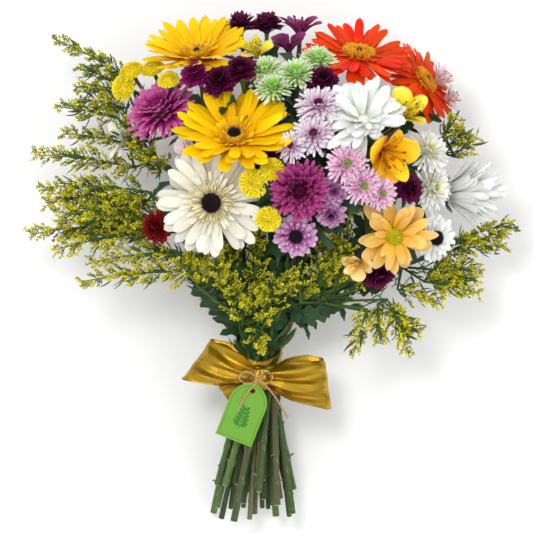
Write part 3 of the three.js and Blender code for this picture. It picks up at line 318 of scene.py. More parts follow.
class Surface:
    """A mesh being gathered, with a UV map, and for each point a random, a layer and a third share."""

    def __init__(self):
        self.points = []
        self.shares = []
        self.uvs = []
        self.faces = {3: [], 4: []}
        self.slots = {3: [], 4: []}
        self.size = 0
        self.first_slot = 0

    def add(self, points, faces, uvs, shares, slot=0):
        """Adds copies of one mesh: points are (copies, points, 3), faces index one copy."""
        copies, each = points.shape[:2]
        self.points.append(points.reshape(-1, 3))
        self.uvs.append(np.broadcast_to(uvs, (copies, each, 2)).reshape(-1, 2))
        self.shares.append(np.broadcast_to(shares, (copies, each, 3)).reshape(-1, 3))
        starts = self.size + each * np.arange(copies)
        for corners, group in faces.items():
            if len(group):
                group = np.array(group)
                self.faces[corners].append((starts[:, None, None] + group[None]).reshape(-1, corners))
                self.slots[corners].append(np.full(copies * len(group), self.first_slot + slot))
        self.size += copies * each

    def build(self, name, materials, sharp=70):
        """Makes the object, in the frame, in metres."""
        points = (np.concatenate(self.points) + ORIGIN) * MILLIMETRE
        quads = np.concatenate(self.faces[4] or [np.zeros((0, 4), int)])
        thirds = np.concatenate(self.faces[3] or [np.zeros((0, 3), int)])
        loops = np.concatenate([quads.ravel(), thirds.ravel()])
        starts = np.concatenate([4 * np.arange(len(quads)), 4 * len(quads) + 3 * np.arange(len(thirds))])
        shares = np.concatenate(self.shares)
        mesh = bpy.data.meshes.new(name)
        mesh.vertices.add(len(points))
        mesh.loops.add(len(loops))
        mesh.polygons.add(len(starts))

        def fill(held, key, values, kind=np.int32):
            held.foreach_set(key, values.astype(kind).ravel())

        fill(mesh.vertices, "co", points, np.float32)
        fill(mesh.loops, "vertex_index", loops)
        fill(mesh.polygons, "loop_start", starts)
        fill(mesh.polygons, "material_index", np.concatenate(self.slots[4] + self.slots[3]))
        mesh.update(calc_edges=True)
        fill(mesh.uv_layers.new(name="UVMap").uv, "vector", np.concatenate(self.uvs)[loops], np.float32)
        variety = mesh.attributes.new("variety", "FLOAT_COLOR", "POINT")
        fill(variety.data, "color", np.concatenate([shares, np.ones((len(shares), 1))], axis=1), np.float32)
        mesh.shade_smooth()
        mesh.set_sharp_from_angle(angle=math.radians(sharp))
        for material in materials:
            mesh.materials.append(material)
        piece = new_object(name, mesh)
        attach(piece, "root")
        return piece


def add_sheets(surface, top, under, uvs, shares, slot=0):
    """Adds thin closed sheets. Each side is (copies, across + 1, along + 1, 3), and they share their rim."""
    copies, rows, columns = top.shape[:3]
    upper = np.arange(rows * columns).reshape(rows, columns)
    lower = upper.copy()
    lower[1:-1, 1:-1] = upper.size + np.arange((rows - 2) * (columns - 2)).reshape(rows - 2, columns - 2)
    faces = []
    for i in range(rows - 1):
        for j in range(columns - 1):
            faces.append((upper[i, j], upper[i, j + 1], upper[i + 1, j + 1], upper[i + 1, j]))
            faces.append((lower[i, j], lower[i + 1, j], lower[i + 1, j + 1], lower[i, j + 1]))
    inner = under[:, 1:-1, 1:-1].reshape(copies, -1, 3)
    points = np.concatenate([top.reshape(copies, -1, 3), inner], axis=1)
    all_uvs = np.concatenate([uvs.reshape(-1, 2), uvs[1:-1, 1:-1].reshape(-1, 2)])
    surface.add(points, {4: faces}, all_uvs, shares[:, None, :], slot)


def add_rings(surface, rings, middles, uvs, shares, slot=0, inside_out=False):
    """Adds a closed body of rings of points, with a middle point at each end.

    uvs hold one row for each point of the rings, or those of the two middles as well."""
    count, sides = rings.shape[:2]
    first = count * sides
    index = np.arange(first).reshape(count, sides)
    after = np.roll(index, -1, axis=1)
    quads = np.stack([index[:-1], after[:-1], after[1:], index[1:]], axis=-1).reshape(-1, 4)
    thirds = np.concatenate([np.stack([np.full(sides, first), after[0], index[0]], axis=-1),
                             np.stack([np.full(sides, first + 1), index[-1], after[-1]], axis=-1)])
    if inside_out:
        quads = quads[:, [0, 3, 2, 1]]
        thirds = thirds[:, [0, 2, 1]]
    uvs = uvs.reshape(-1, 2)
    if len(uvs) == first:
        uvs = np.concatenate([uvs, np.zeros((2, 2))])
    points = np.concatenate([rings.reshape(-1, 3), middles])
    surface.add(points[None], {4: quads, 3: thirds}, uvs, np.array(shares, float), slot)


def add_tube(surface, path, radii, sides=10, slot=0, shares=(0.5, 0, 0), phase=0.0):
    """Adds a closed tube along a path, with a radius at each of its points."""
    path = np.array(path, float)
    radii = np.broadcast_to(radii, len(path))
    forward = units(np.gradient(path, axis=0))
    side = np.cross(forward[0], (0, 0, 1) if abs(forward[0][2]) < 0.9 else (1, 0, 0))
    sides_at = []
    for direction in forward:
        side = unit(side - direction * side.dot(direction))
        sides_at.append(side)
    sides_at = np.array(sides_at)
    others = np.cross(forward, sides_at)
    cosines, sines = circle(sides, phase)
    ways = cosines[None, :, None] * sides_at[:, None] + sines[None, :, None] * others[:, None]
    rings = path[:, None] + radii[:, None, None] * ways
    distance = distances(path) / 100
    uvs = map_of(np.arange(sides) / sides, distance).reshape(-1, 2)
    uvs = np.concatenate([uvs, [[0.5, 0]], [[0.5, distance[-1]]]])
    add_rings(surface, rings, path[[0, -1]], uvs, shares, slot)


def add_turned(surface, axes, at, stations, sides=16, slot=0, shares=(0.5, 0, 0)):
    """Adds a closed turned body: stations are (radius, height) along the third axis, from the bottom up."""
    cosines, sines = circle(sides)
    stations = np.array(stations, float)
    reaches, heights = stations[:, :1], stations[:, 1:]
    rings = np.stack([cosines * reaches, sines * reaches, heights + 0 * cosines], axis=-1) @ axes.T + at
    middles = np.array([(0, 0, stations[0][1]), (0, 0, stations[-1][1])]) @ axes.T + at
    uvs = map_of(np.arange(sides) / sides, np.linspace(0, 1, len(stations)))
    add_rings(surface, rings, middles, uvs, shares, slot)


def two_sides(directions):
    """For each direction, at a length of one: itself, a side of it, and the side square to both."""
    directions = units(directions)
    helper = np.where(np.abs(directions[:, 2:]) < 0.9, vector(0, 0, 1), vector(1, 0, 0))
    side = units(np.cross(directions, helper))
    return directions, side, np.cross(directions, side)


def add_pips(surface, centres, directions, lengths, radii, shares, slot=0):
    """Adds small pointed bodies, such as florets and anthers: five-sided, with three rings and two points."""
    sides = 5
    directions, side, other = two_sides(directions)
    cosines, sines = circle(sides)
    ways = cosines[None, :, None] * side[:, None] + sines[None, :, None] * other[:, None]
    parts = []
    for height, reach in [(-0.5, 0.0), (-0.28, 0.72), (0.03, 1.0), (0.34, 0.62), (0.5, 0.0)]:
        middle = (centres + directions * (lengths * height)[:, None])[:, None]
        parts.append(middle + ways * (radii * reach)[:, None, None] if reach else middle)
    rings = [1 + sides * k + np.arange(sides) for k in range(3)]
    last = 1 + 3 * sides
    thirds = []
    quads = []
    for i in range(sides):
        after = (i + 1) % sides
        thirds.append((0, rings[0][after], rings[0][i]))
        thirds.append((last, rings[2][i], rings[2][after]))
        for low, high in zip(rings, rings[1:]):
            quads.append((low[i], low[after], high[after], high[i]))
    uvs = np.zeros((last + 1, 2))
    uvs[1:last, 0] = np.tile(np.arange(sides) / sides, 3)
    uvs[1:last, 1] = np.repeat([0.25, 0.5, 0.8], sides)
    uvs[last] = (0.5, 1)
    surface.add(np.concatenate(parts, axis=1), {4: quads, 3: thirds}, uvs, shares[:, None, :], slot)


def add_buds(surface, centres, directions, lengths, radii, shares):
    """Adds many very small closed buds, three-sided with one full ring."""
    directions, side, other = two_sides(directions)
    axis = directions * lengths[:, None]
    ways = [side, 0.87 * other - 0.5 * side, -0.87 * other - 0.5 * side]
    ring = [centres + 0.1 * axis + way * radii[:, None] for way in ways]
    points = np.stack([centres - 0.5 * axis, *ring, centres + 0.5 * axis], axis=1)
    thirds = [(0, 1 + (i + 1) % 3, 1 + i) for i in range(3)] + [(4, 1 + i, 1 + (i + 1) % 3) for i in range(3)]
    uvs = np.array([(0, 0), (0, 0.5), (0.33, 0.5), (0.67, 0.5), (0.5, 1)])
    surface.add(points, {3: thirds}, uvs, shares[:, None, :])


# Petals.
def petal_outline(root, full, swell, shoulder, power, least, bluntness=0.5):
    """An outline of petals: how wide the root is, where it is full, and where and how fast its end closes."""
    def outline(v):
        foot = root + (1 - root) * np.clip(v / full, 0, 1) ** swell
        end = 1 - (np.clip(v - shoulder, 0, 1) / (1 - shoulder)) ** power
        return foot * np.clip(end, least, 1) ** bluntness
    return outline


def pointed(v):
    """The outline of a petal that widens past its middle and ends in a point."""
    return np.clip(np.sin(np.pi * np.clip(v, 0, 1) ** 1.25) ** 0.75, 0.05, 1)


# Long petals with a round end, even ones with a blunt point, those with a narrow claw and a wide round blade,
# and narrow ones that widen to a blunt end.
STRAP = petal_outline(0.42, 0.45, 0.8, 0.74, 2.2, 0.004)
BLADE = petal_outline(0.5, 0.42, 0.8, 0.5, 3.2, 0.003, 0.72)
BROAD = petal_outline(0.2, 0.6, 1.6, 0.62, 2, 0.004)
SPOON = petal_outline(0.5, 0.75, 1, 0.8, 2, 0.01)

# How far the petals of a ring differ: in bearing (a share of the step between two), slope, curl and twist in
# degrees, and in length, width, sway and cup in shares.
BEARING_SPREAD = 0.22
SLOPE_SPREAD = 5
CURL_SPREAD = 8
TWIST_SPREAD = 14
LENGTH_SPREAD = 0.06
WIDTH_SPREAD = 0.08
SWAY_SPREAD = 0.05
CUP_SPREAD = 0.06
# How long petals stay that would meet a neighbour, and the angle between two florets in a disc's spiral.
SHORTENED = 0.55
GOLDEN_ANGLE = 137.508


class Bloom:
    """One bloom being made. Lengths are shares of its radius, unless said otherwise. Angles are in degrees.

    Its petals take slot 0, its green parts slot 1, its centre slot 2 and its florets slot 3."""

    def __init__(self, surface, node, number, at, faces, radius):
        self.surface = surface
        self.random = np.random.default_rng(SEEDS["blooms"] + number)
        self.at = vector(*at)
        self.axes = facing(*faces)
        self.radius = radius
        self.lift = LIFTS.get(node, (0, 0))
        self.neighbour = NEIGHBOURS.get(node)

    def placed(self, points):
        """Points along the bloom's own axes, in their place in the bouquet."""
        return points @ self.axes.T + self.at

    def petals(self, count, start, height, reach, width, rise, outline, turn=0.0, curl=0.0, cup=0.15,
               ridge=0.0, wave=0.0, loose=1.0, grid=(4, 7), layer=0.0, lifted=True, thickness=0.35, slot=0):
        """One ring of petals round the bloom's axis, from where they start to where they reach.

        They rise with one slope at their root and another at their tip. layer runs from the outermost ring to
        the innermost, and the thickness is in millimetres."""
        random, radius = self.random, self.radius
        across, along = grid
        u = np.linspace(-1, 1, across + 1)
        v = 1 - (1 - np.linspace(0, 1, along + 1)) ** 1.35

        def spread(amount):
            return random.uniform(-amount * loose, amount * loose, count)[:, None]

        step = 360 / count
        bearings = np.radians((np.arange(count) + turn)[:, None] * step + spread(BEARING_SPREAD * step))
        ways = np.concatenate([np.cos(bearings), np.sin(bearings), np.zeros((count, 1))], axis=1)
        level, far_side = self.lift if lifted else (0, 0)
        raised = level + far_side * np.sin(bearings) + spread(SLOPE_SPREAD)
        bent = (curl + spread(CURL_SPREAD)) * np.clip((v - 0.55) / 0.45, 0, 1) ** 2
        slopes = np.radians(rise[0] + (rise[1] - rise[0]) * v + raised + bent)
        mean_slope = math.radians((rise[0] + rise[1]) / 2)
        lengths = (reach - start) / math.cos(mean_slope) * radius * (1 + spread(LENGTH_SPREAD))
        if self.neighbour:
            spot, clearance = self.neighbour
            near = np.linalg.norm(self.placed(reach * radius * ways) - spot, axis=1) < clearance
            lengths = lengths * np.where(near, SHORTENED, 1)[:, None]

        def along_petal(trace):
            steps = (trace[:, 1:] + trace[:, :-1]) / 2 * np.diff(v)
            return lengths * np.concatenate([np.zeros((count, 1)), np.cumsum(steps, axis=1)], axis=1)

        x = start * radius + along_petal(np.cos(slopes))
        z = height * radius + along_petal(np.sin(slopes))
        half = width * radius / 2 * outline(v)[None] * (1 + spread(WIDTH_SPREAD))
        twist = np.radians(spread(TWIST_SPREAD)) * v
        sway = spread(SWAY_SPREAD) * lengths * v**2
        phase = random.uniform(0, 1, count)[:, None]
        uu = u[None, :, None]
        across_at = uu * half[:, None]
        bowl = (cup + spread(CUP_SPREAD))[:, None] * half[:, None] * uu**2
        folds = ridge * half[:, None] * np.cos(3 * np.pi * uu) * np.clip(v * 3, 0, 1)
        ripples = np.sin(2 * np.pi * (1.6 * v[None, None] + phase[:, :, None] + 0.3 * uu))
        waves = wave * half[:, None] * np.abs(uu) ** 1.5 * ripples
        top = bowl + folds + waves + across_at * np.sin(twist[:, None])
        sideways = across_at * np.cos(twist[:, None]) + sway[:, None]
        body = thickness * (1 - uu**2) * np.sin(np.pi * np.clip(v, 0.02, 0.98)) ** 0.4
        cosine, sine = np.cos(bearings)[:, :, None], np.sin(bearings)[:, :, None]

        def side(up):
            out = x[:, None] - np.sin(slopes[:, None]) * up
            high = z[:, None] + np.cos(slopes[:, None]) * up
            local = [out * cosine - sideways * sine, out * sine + sideways * cosine, high]
            return self.placed(np.stack(local, axis=-1))

        uvs = map_of((u + 1) / 2, v, "ij")
        add_sheets(self.surface, side(top), side(top - body), uvs, self.drawn_shares(count, layer), slot)

    def drawn_shares(self, count, layer):
        """For each of some parts: a random share, its layer and a third share."""
        first = self.random.uniform(0, 1, count)
        return np.stack([first, np.full(count, layer), self.random.uniform(0, 1, count)], axis=1)

    def florets(self, inner, outer, base, dome, count, size, length, slot=2, lean=0.5):
        """Florets packed on a dome between two radii, in the spiral that such discs grow in."""
        random, radius = self.random, self.radius
        number = np.arange(count)
        share = np.sqrt((number + 0.5) / count)
        reach = (inner + (outer - inner) * share) * radius
        angle = number * math.radians(GOLDEN_ANGLE)
        flat = np.sqrt(np.clip(1 - (reach / (outer * 1.12 * radius)) ** 2, 0, 1))
        out = np.stack([np.cos(angle), np.sin(angle), np.zeros(count)], axis=1)
        centres = out * reach[:, None] + ((base + dome * flat) * radius)[:, None] * vector(0, 0, 1)
        directions = out * (reach / (outer * radius) * lean)[:, None] + vector(0, 0, 1)
        directions += random.normal(0, 0.12, (count, 3))
        shares = self.drawn_shares(count, share)
        lengths = length * radius * random.uniform(0.8, 1.2, count)
        radii = size * radius * random.uniform(0.85, 1.15, count)
        add_pips(self.surface, self.placed(centres), directions @ self.axes.T, lengths, radii, shares, slot)

    def turned(self, stations, slot=0, shares=(0.5, 0, 0)):
        """A turned body round the bloom's axis."""
        stations = np.array(stations) * self.radius
        add_turned(self.surface, self.axes, self.at, stations, slot=slot, shares=shares)


# Blooms.
def gerbera(bloom, threads=0.26, eye=0.11, count=23):
    """A gerbera: rings of long petals, short narrow ones inside, thread-like florets and a dark disc.

    threads and eye are how far the thread-like florets and the dark disc reach."""
    width = 4.5 / count
    ring = dict(outline=STRAP, ridge=0.1, cup=-0.12, grid=(5, 9), wave=0.08, loose=1.5)
    bloom.petals(count, 0.17, -0.13, 1.0, width, (5, -2), curl=-8, **ring)
    bloom.petals(count - 1, 0.17, -0.1, 0.95, 0.95 * width, (14, 4), turn=0.5, curl=-5, layer=0.2, **ring)
    ring.update(grid=(3, 6), loose=1.7)
    bloom.petals(28, 0.17, -0.06, threads + 0.13, 0.07, (24, 14), layer=0.45, **ring)
    ring.update(grid=(2, 4), cup=0.1, ridge=0, wave=0, loose=1.6, slot=3)
    for share, rise, layer in [(1.0, 17, 0.8), (0.92, 24, 0.85), (0.84, 33, 0.9), (0.76, 45, 1.0)]:
        bloom.petals(56, 0.17, -0.04, share * threads, 0.03, (rise, rise - 8), turn=layer,
                     layer=layer, **ring)
    bloom.turned([(0.17, -0.2), (0.2, -0.06), (0.18, 0.0), (0.1, 0.02)], slot=3)
    bloom.turned([(eye, -0.1), (eye, 0.015), (0.6 * eye, 0.035)], slot=2)
    bloom.florets(0.0, eye, -0.01, 0.06, round(5200 * eye * eye), 0.011, 0.07)
    edge = max(0.23, 0.85 * threads)
    bloom.florets(eye, edge, -0.03, 0.06, round(2800 * (edge**2 - eye**2)), 0.01, 0.09, slot=3, lean=0.9)


def young_gerbera(bloom):
    """A gerbera whose disc hasn't opened, so that it is as pale as its petals."""
    gerbera(bloom, threads=0.34, eye=0.05)


def open_gerbera(bloom):
    """A fully opened gerbera, whose thread-like florets reach far out round a larger disc."""
    gerbera(bloom, threads=0.45, eye=0.18, count=20)


def mum(bloom):
    """A spray mum: rings of narrow petals round a small disc, flat outside and ever more upright inside."""
    radius = bloom.radius
    rings = 7 if radius > 22 else 6
    count = 26 if radius > 15 else 21
    grid = (2, 5) if radius < 20 else (3, 6)
    for k in range(rings):
        share = k / (rings - 1)
        slope = 58 * share
        bloom.petals(count - round(10 * share), 0.18 - 0.05 * share, -0.26 + 0.2 * share,
                     1 - 0.66 * share**1.1, 0.14 - 0.02 * share, (6 + slope, -2 + slope), SPOON, turn=0.5 * k,
                     curl=6 + 16 * share, cup=0.34, grid=grid, layer=share, loose=1.7)
    bloom.turned([(0.14, -0.5), (0.3, -0.3), (0.22, -0.1), (0.08, -0.04)], shares=(0.9, 0.6, 0.5))
    bloom.florets(0.0, 0.21, -0.04, 0.12, 70, 0.024, 0.12)


def double(bloom):
    """A loose double bloom of broad waved petals."""
    for k in range(6):
        share = k / 5
        bloom.petals(13 - round(5 * share), 0.12, -0.26 + 0.24 * share, 1 - 0.6 * share, 0.46 - 0.14 * share,
                     (6 + 60 * share, 0 + 62 * share), pointed, turn=0.5 * k, curl=14, cup=0.22, wave=0.16,
                     grid=(4, 6), layer=share, loose=1.7)
    bloom.turned([(0.14, -0.5), (0.3, -0.3), (0.2, -0.1), (0.08, -0.04)], shares=(0.5, 1, 0.5))
    bloom.florets(0.0, 0.12, -0.02, 0.04, 20, 0.025, 0.1)


def shaggy(bloom):
    """A large mum of long broad petals, flat outside and loosely upright inside."""
    for k, (count, reach, width, rise) in enumerate([
            (14, 1.0, 0.25, (2, -10)), (14, 0.98, 0.25, (16, 2)), (12, 0.9, 0.23, (28, 12)),
            (10, 0.78, 0.22, (40, 22)), (8, 0.6, 0.2, (50, 32)), (6, 0.4, 0.17, (60, 42))]):
        bloom.petals(count, 0.12, -0.2 + 0.03 * k, reach, width, rise, STRAP, turn=0.5 * k, curl=4, cup=0.24,
                     ridge=0.08, wave=0.1, grid=(4, 8), layer=k / 5, loose=2.4)
    bloom.turned([(0.12, -0.36), (0.22, -0.22), (0.12, -0.08)], shares=(0.5, 1, 0.5))


def funnel(bloom):
    """A mum seen from its side, with long petals thrown forward."""
    for k, (count, start, reach, width, rise) in enumerate([
            (18, 0.22, 0.72, 0.15, (62, 44)), (18, 0.2, 0.64, 0.14, (68, 50)),
            (17, 0.18, 0.55, 0.13, (73, 58)), (15, 0.15, 0.42, 0.12, (78, 66)),
            (12, 0.11, 0.3, 0.11, (82, 74)), (8, 0.07, 0.16, 0.09, (86, 83))]):
        bloom.petals(count, start, -0.93 + 0.04 * k, reach, width, rise, STRAP, turn=0.5 * k, curl=-12,
                     cup=0.25, ridge=0.05, grid=(3, 9), layer=k / 8, loose=2.1)
    bloom.turned([(0.1, -1.03), (0.24, -0.92), (0.12, -0.7)], shares=(0.5, 1, 0.5))


def anemone(bloom):
    """A mum with rings of narrow petals round a dark cushion."""
    for count, reach, width, rise, layer in [
            (19, 1.0, 0.27, (4, -6), 0), (18, 0.92, 0.25, (16, 4), 0.3), (15, 0.72, 0.19, (32, 22), 0.6),
            (13, 0.52, 0.13, (46, 38), 0.9)]:
        bloom.petals(count, 0.2, -0.2 + 0.12 * layer, reach, width, rise, STRAP, turn=layer * 1.4, curl=8,
                     cup=0.3, ridge=0.08, layer=layer, loose=1.8)
    bloom.turned([(0.24, -0.46), (0.3, -0.2), (0.28, 0.0), (0.16, 0.1)], slot=2)
    bloom.florets(0.0, 0.29, -0.06, 0.2, 120, 0.024, 0.11, lean=0.9)


def daisy(bloom):
    """A daisy mum: long loose petals, two shorter rings over them, and a yellow-green disc."""
    ring = dict(outline=BLADE, ridge=0.08, wave=0.14, grid=(6, 10), loose=2.2)
    bloom.petals(12, 0.16, -0.14, 1.03, 0.33, (8, -10), cup=0.16, curl=-10, **ring)
    bloom.petals(10, 0.16, -0.08, 0.88, 0.29, (24, 4), turn=0.5, cup=0.2, curl=-6, layer=0.5, **ring)
    bloom.petals(8, 0.16, -0.05, 0.6, 0.2, (42, 24), turn=0.2, cup=0.24, layer=0.8, **ring)
    bloom.turned([(0.18, -0.3), (0.22, -0.08), (0.2, 0.0), (0.1, 0.04)], slot=2)
    bloom.florets(0.0, 0.22, -0.04, 0.1, 150, 0.013, 0.06)


def lily(bloom):
    """An alstroemeria: three broad and three narrow tepals in a funnel, and stamens."""
    ring = dict(outline=BROAD, loose=1.3, thickness=0.5)
    bloom.petals(3, 0.06, -0.84, 1.0, 0.84, (66, 8), cup=0.2, ridge=0.03, curl=-14, grid=(8, 12), **ring)
    bloom.petals(3, 0.05, -0.78, 0.9, 0.52, (70, 22), turn=0.5, cup=0.24, ridge=0.04, curl=-8, grid=(6, 12),
                 layer=1.0, **ring)
    random, radius = bloom.random, bloom.radius
    for k in range(6):
        angle = math.radians(60 * k + 25) + random.uniform(-0.3, 0.3)
        tip = vector(math.cos(angle) * 0.3, math.sin(angle) * 0.3, random.uniform(-0.1, 0.08)) * radius
        root = vector(math.cos(angle) * 0.05, math.sin(angle) * 0.05, -0.8) * radius
        bend = (root + tip) / 2 + vector(0, 0, 0.12 * radius)
        path = bloom.placed(bezier([root, bend, tip], 6))
        add_tube(bloom.surface, path, 0.014 * radius + 0.15, 5, slot=3)
        add_pips(bloom.surface, path[-1:], (tip - bend)[None] @ bloom.axes.T, vector(0.14 * radius),
                 vector(0.04 * radius), np.array([[0.5, 0.5, 0.5]]), slot=2)
    bloom.turned([(0.05, -0.96), (0.13, -0.88), (0.12, -0.78)], slot=1)


def button(bloom):
    """A button mum: a low dome of very many short blunt petals."""
    bloom.turned([(0.4, -0.7), (0.76, -0.42), (0.72, -0.12), (0.45, 0.04), (0.2, 0.1)], shares=(0.3, 0, 0.5))
    for k in range(9):
        share = k / 8
        angle = math.radians(12 + 74 * share)
        start = 0.74 * math.cos(angle)
        slope = -8 + 84 * share
        reach = start + 0.3 * math.cos(math.radians(slope))
        bloom.petals(round(26 - 19 * share), start, -0.42 + 0.56 * math.sin(angle), reach,
                     0.19 - 0.04 * share, (slope, slope - 6), SPOON, turn=0.5 * k, cup=0.4, grid=(2, 4),
                     layer=share, loose=1.2, thickness=0.5)


# For each kind of bloom: what makes it, then how deep under its face its green cup is and the cup's radius,
# both as shares of the bloom's radius.
KINDS = {
    "gerbera": (gerbera, 0.22, 0.15),
    "young_gerbera": (young_gerbera, 0.22, 0.15),
    "open_gerbera": (open_gerbera, 0.22, 0.15),
    "mum": (mum, 0.5, 0.24),
    "double": (double, 0.5, 0.24),
    "shaggy": (shaggy, 0.36, 0.18),
    "funnel": (funnel, 1.05, 0.2),
    "anemone": (anemone, 0.46, 0.24),
    "daisy": (daisy, 0.3, 0.18),
    "lily": (lily, 0.9, 0.14),
    "button": (button, 0.74, 0.28),
}


def add_cup(bloom, kind):
    """The green cup under a bloom, and its bracts, which a lily doesn't have."""
    radius = bloom.radius
    base, cup = -KINDS[kind][1] * radius, KINDS[kind][2] * radius
    add_turned(bloom.surface, bloom.axes, bloom.at, [
        (0.4 * cup + 0.6, base - 0.5 * cup), (0.95 * cup, base - 0.1 * cup), (1.12 * cup, base + 0.2 * cup),
        (0.9 * cup, base + 0.5 * cup)], slot=1)
    if kind != "lily":
        bloom.petals(12, 0.8 * cup / radius, base / radius - 0.02, min(0.5, 2.1 * cup / radius),
                     0.7 * cup / radius, (40, 20), pointed, grid=(2, 3), lifted=False, slot=1)


# Materials.
def colour(code):
    """A six-digit colour as the linear values that shaders take."""
    channels = [int(code[i:i + 2], 16) / 255 for i in (0, 2, 4)]
    return [c / 12.92 if c <= 0.04045 else ((c + 0.055) / 1.055) ** 2.4 for c in channels] + [1]


class Nodes:
    """A material's node tree, with short ways to add and join its nodes."""

    def __init__(self, name):
        self.material = bpy.data.materials.new(name)
        self.material.use_nodes = True
        self.tree = self.material.node_tree
        self.shader = self.tree.nodes["Principled BSDF"]

    def add(self, kind, inputs=(), **settings):
        node = self.tree.nodes.new(kind)
        for key, value in settings.items():
            setattr(node, key, value)
        for key, value in dict(inputs).items():
            self.link(value, node.inputs[key])
        return node

    def link(self, value, socket):
        if isinstance(value, bpy.types.NodeSocket):
            self.tree.links.new(value, socket)
        else:
            socket.default_value = value

    def maths(self, operation, first, second=0.0, third=0.0):
        return self.add("ShaderNodeMath", {0: first, 1: second, 2: third}, operation=operation).outputs[0]

    def scaled(self, value, factor, offset):
        """A value times a factor, with an offset added."""
        return self.maths("MULTIPLY_ADD", value, factor, offset)

    def times(self, first, second):
        return self.maths("MULTIPLY", first, second)

    def off_centre(self, value, centre=0.5):
        """How far a value is from a centre, on either side."""
        return self.maths("ABSOLUTE", self.maths("SUBTRACT", value, centre))

    def mix(self, share, first, second, blend="MIX"):
        node = self.add("ShaderNodeMix", data_type="RGBA", blend_type=blend)
        for key, value in zip((0, 6, 7), (share, first, second)):
            self.link(colour(value) if isinstance(value, str) else value, node.inputs[key])
        return node.outputs[2]

    def varied(self, base, value, hue=0.5):
        """A colour made lighter or darker by a value, and turned in hue."""
        return self.add("ShaderNodeHueSaturation", {"Hue": hue, "Value": value, "Color": base}).outputs[0]

    def ramp(self, share, stops):
        node = self.add("ShaderNodeValToRGB", {0: share})
        ramp = node.color_ramp
        while len(ramp.elements) < len(stops):
            ramp.elements.new(0.5)
        for element, (place, code) in zip(ramp.elements, stops):
            element.position = place
            element.color = colour(code)
        return node.outputs[0]

    def uv(self, across=1, along=1):
        """The piece's own UV map, stretched."""
        place = self.add("ShaderNodeUVMap", uv_map="UVMap").outputs[0]
        return self.add("ShaderNodeMapping", {"Vector": place, "Scale": (across, along, 1)}).outputs[0]

    def across_and_along(self):
        return self.add("ShaderNodeSeparateXYZ", {0: self.uv()}).outputs[:2]

    def shares(self):
        """The random share, the layer share and the third share of a point."""
        held = self.add("ShaderNodeAttribute", attribute_name="variety")
        return self.add("ShaderNodeSeparateColor", {0: held.outputs["Color"]}).outputs[:3]

    def noise(self, across, along, scale=1.0, detail=3.0, rough=0.5):
        """Noise over the stretched UV map."""
        place = self.uv(across, along)
        settings = {"Vector": place, "Scale": scale, "Detail": detail, "Roughness": rough}
        return self.add("ShaderNodeTexNoise", settings).outputs[0]

    def bump(self, height, millimetres):
        settings = {"Height": height, "Distance": millimetres * MILLIMETRE, "Strength": 1.0}
        return self.add("ShaderNodeBump", settings).outputs[0]

    def finish(self, base, roughness, normal=None, **numbers):
        self.link(base, self.shader.inputs["Base Color"])
        self.link(roughness, self.shader.inputs["Roughness"])
        if normal is not None:
            self.link(normal, self.shader.inputs["Normal"])
        for key, value in numbers.items():
            self.shader.inputs[key.replace("_", " ")].default_value = value
        return self.material


def petal_material(name, root, middle, tip, inner, streak, stripe=None):
    """A petal: its colour runs from root to tip, veins run along it, and no two petals are quite alike.

    inner is the colour that the inner rings take, streak how strong the veins are, and stripe the colour of
    dark flecks near the middle."""
    nodes = Nodes("petal_" + name)
    along = nodes.across_and_along()[1]
    random, layer, third = nodes.shares()
    uneven = nodes.noise(3, 1.2, 2.0)
    shifted = nodes.maths("ADD", along, nodes.scaled(uneven, 0.3, -0.15))
    base = nodes.ramp(shifted, [(0.02, root), (0.5, middle), (0.95, tip)])
    base = nodes.mix(nodes.maths("POWER", layer, 1.4), base, nodes.mix(along, inner, base))
    veins = nodes.noise(26, 1.1, 1.0, 4.0, 0.6)
    lines = nodes.scaled(veins, -2.2, 1.6)
    base = nodes.mix(nodes.times(lines, streak), base, nodes.mix(1.0, base, root, "MULTIPLY"))
    if stripe:
        flecks = nodes.maths("GREATER_THAN", nodes.noise(16, 4.2, 1.0, 1.0), 0.57)
        inside = nodes.times(flecks, nodes.maths("LESS_THAN", nodes.off_centre(along, 0.55), 0.24))
        base = nodes.mix(nodes.times(inside, nodes.scaled(layer, 0.75, 0.1)), base, stripe)
    base = nodes.varied(base, nodes.scaled(random, 0.3, 0.84), nodes.scaled(third, 0.014, 0.494))
    return nodes.finish(base, 0.5, nodes.bump(veins, 0.35), Subsurface_Radius=(1.0, 0.7, 0.5),
                        Subsurface_Weight=0.2, Subsurface_Scale=MILLIMETRE, Specular_IOR_Level=0.1)


def floret_material(name, low, high, roughness=0.7):
    """Small florets, buds and disc tips: darker at their root, each with its own shade."""
    nodes = Nodes(name)
    along = nodes.across_and_along()[1]
    random, _, third = nodes.shares()
    base = nodes.ramp(nodes.scaled(random, 0.7, nodes.times(along, 0.4)), [(0.1, low), (0.9, high)])
    base = nodes.varied(base, nodes.scaled(third, 0.5, 0.72))
    return nodes.finish(base, roughness, Subsurface_Weight=0.1, Subsurface_Scale=MILLIMETRE,
                        Specular_IOR_Level=0.3)


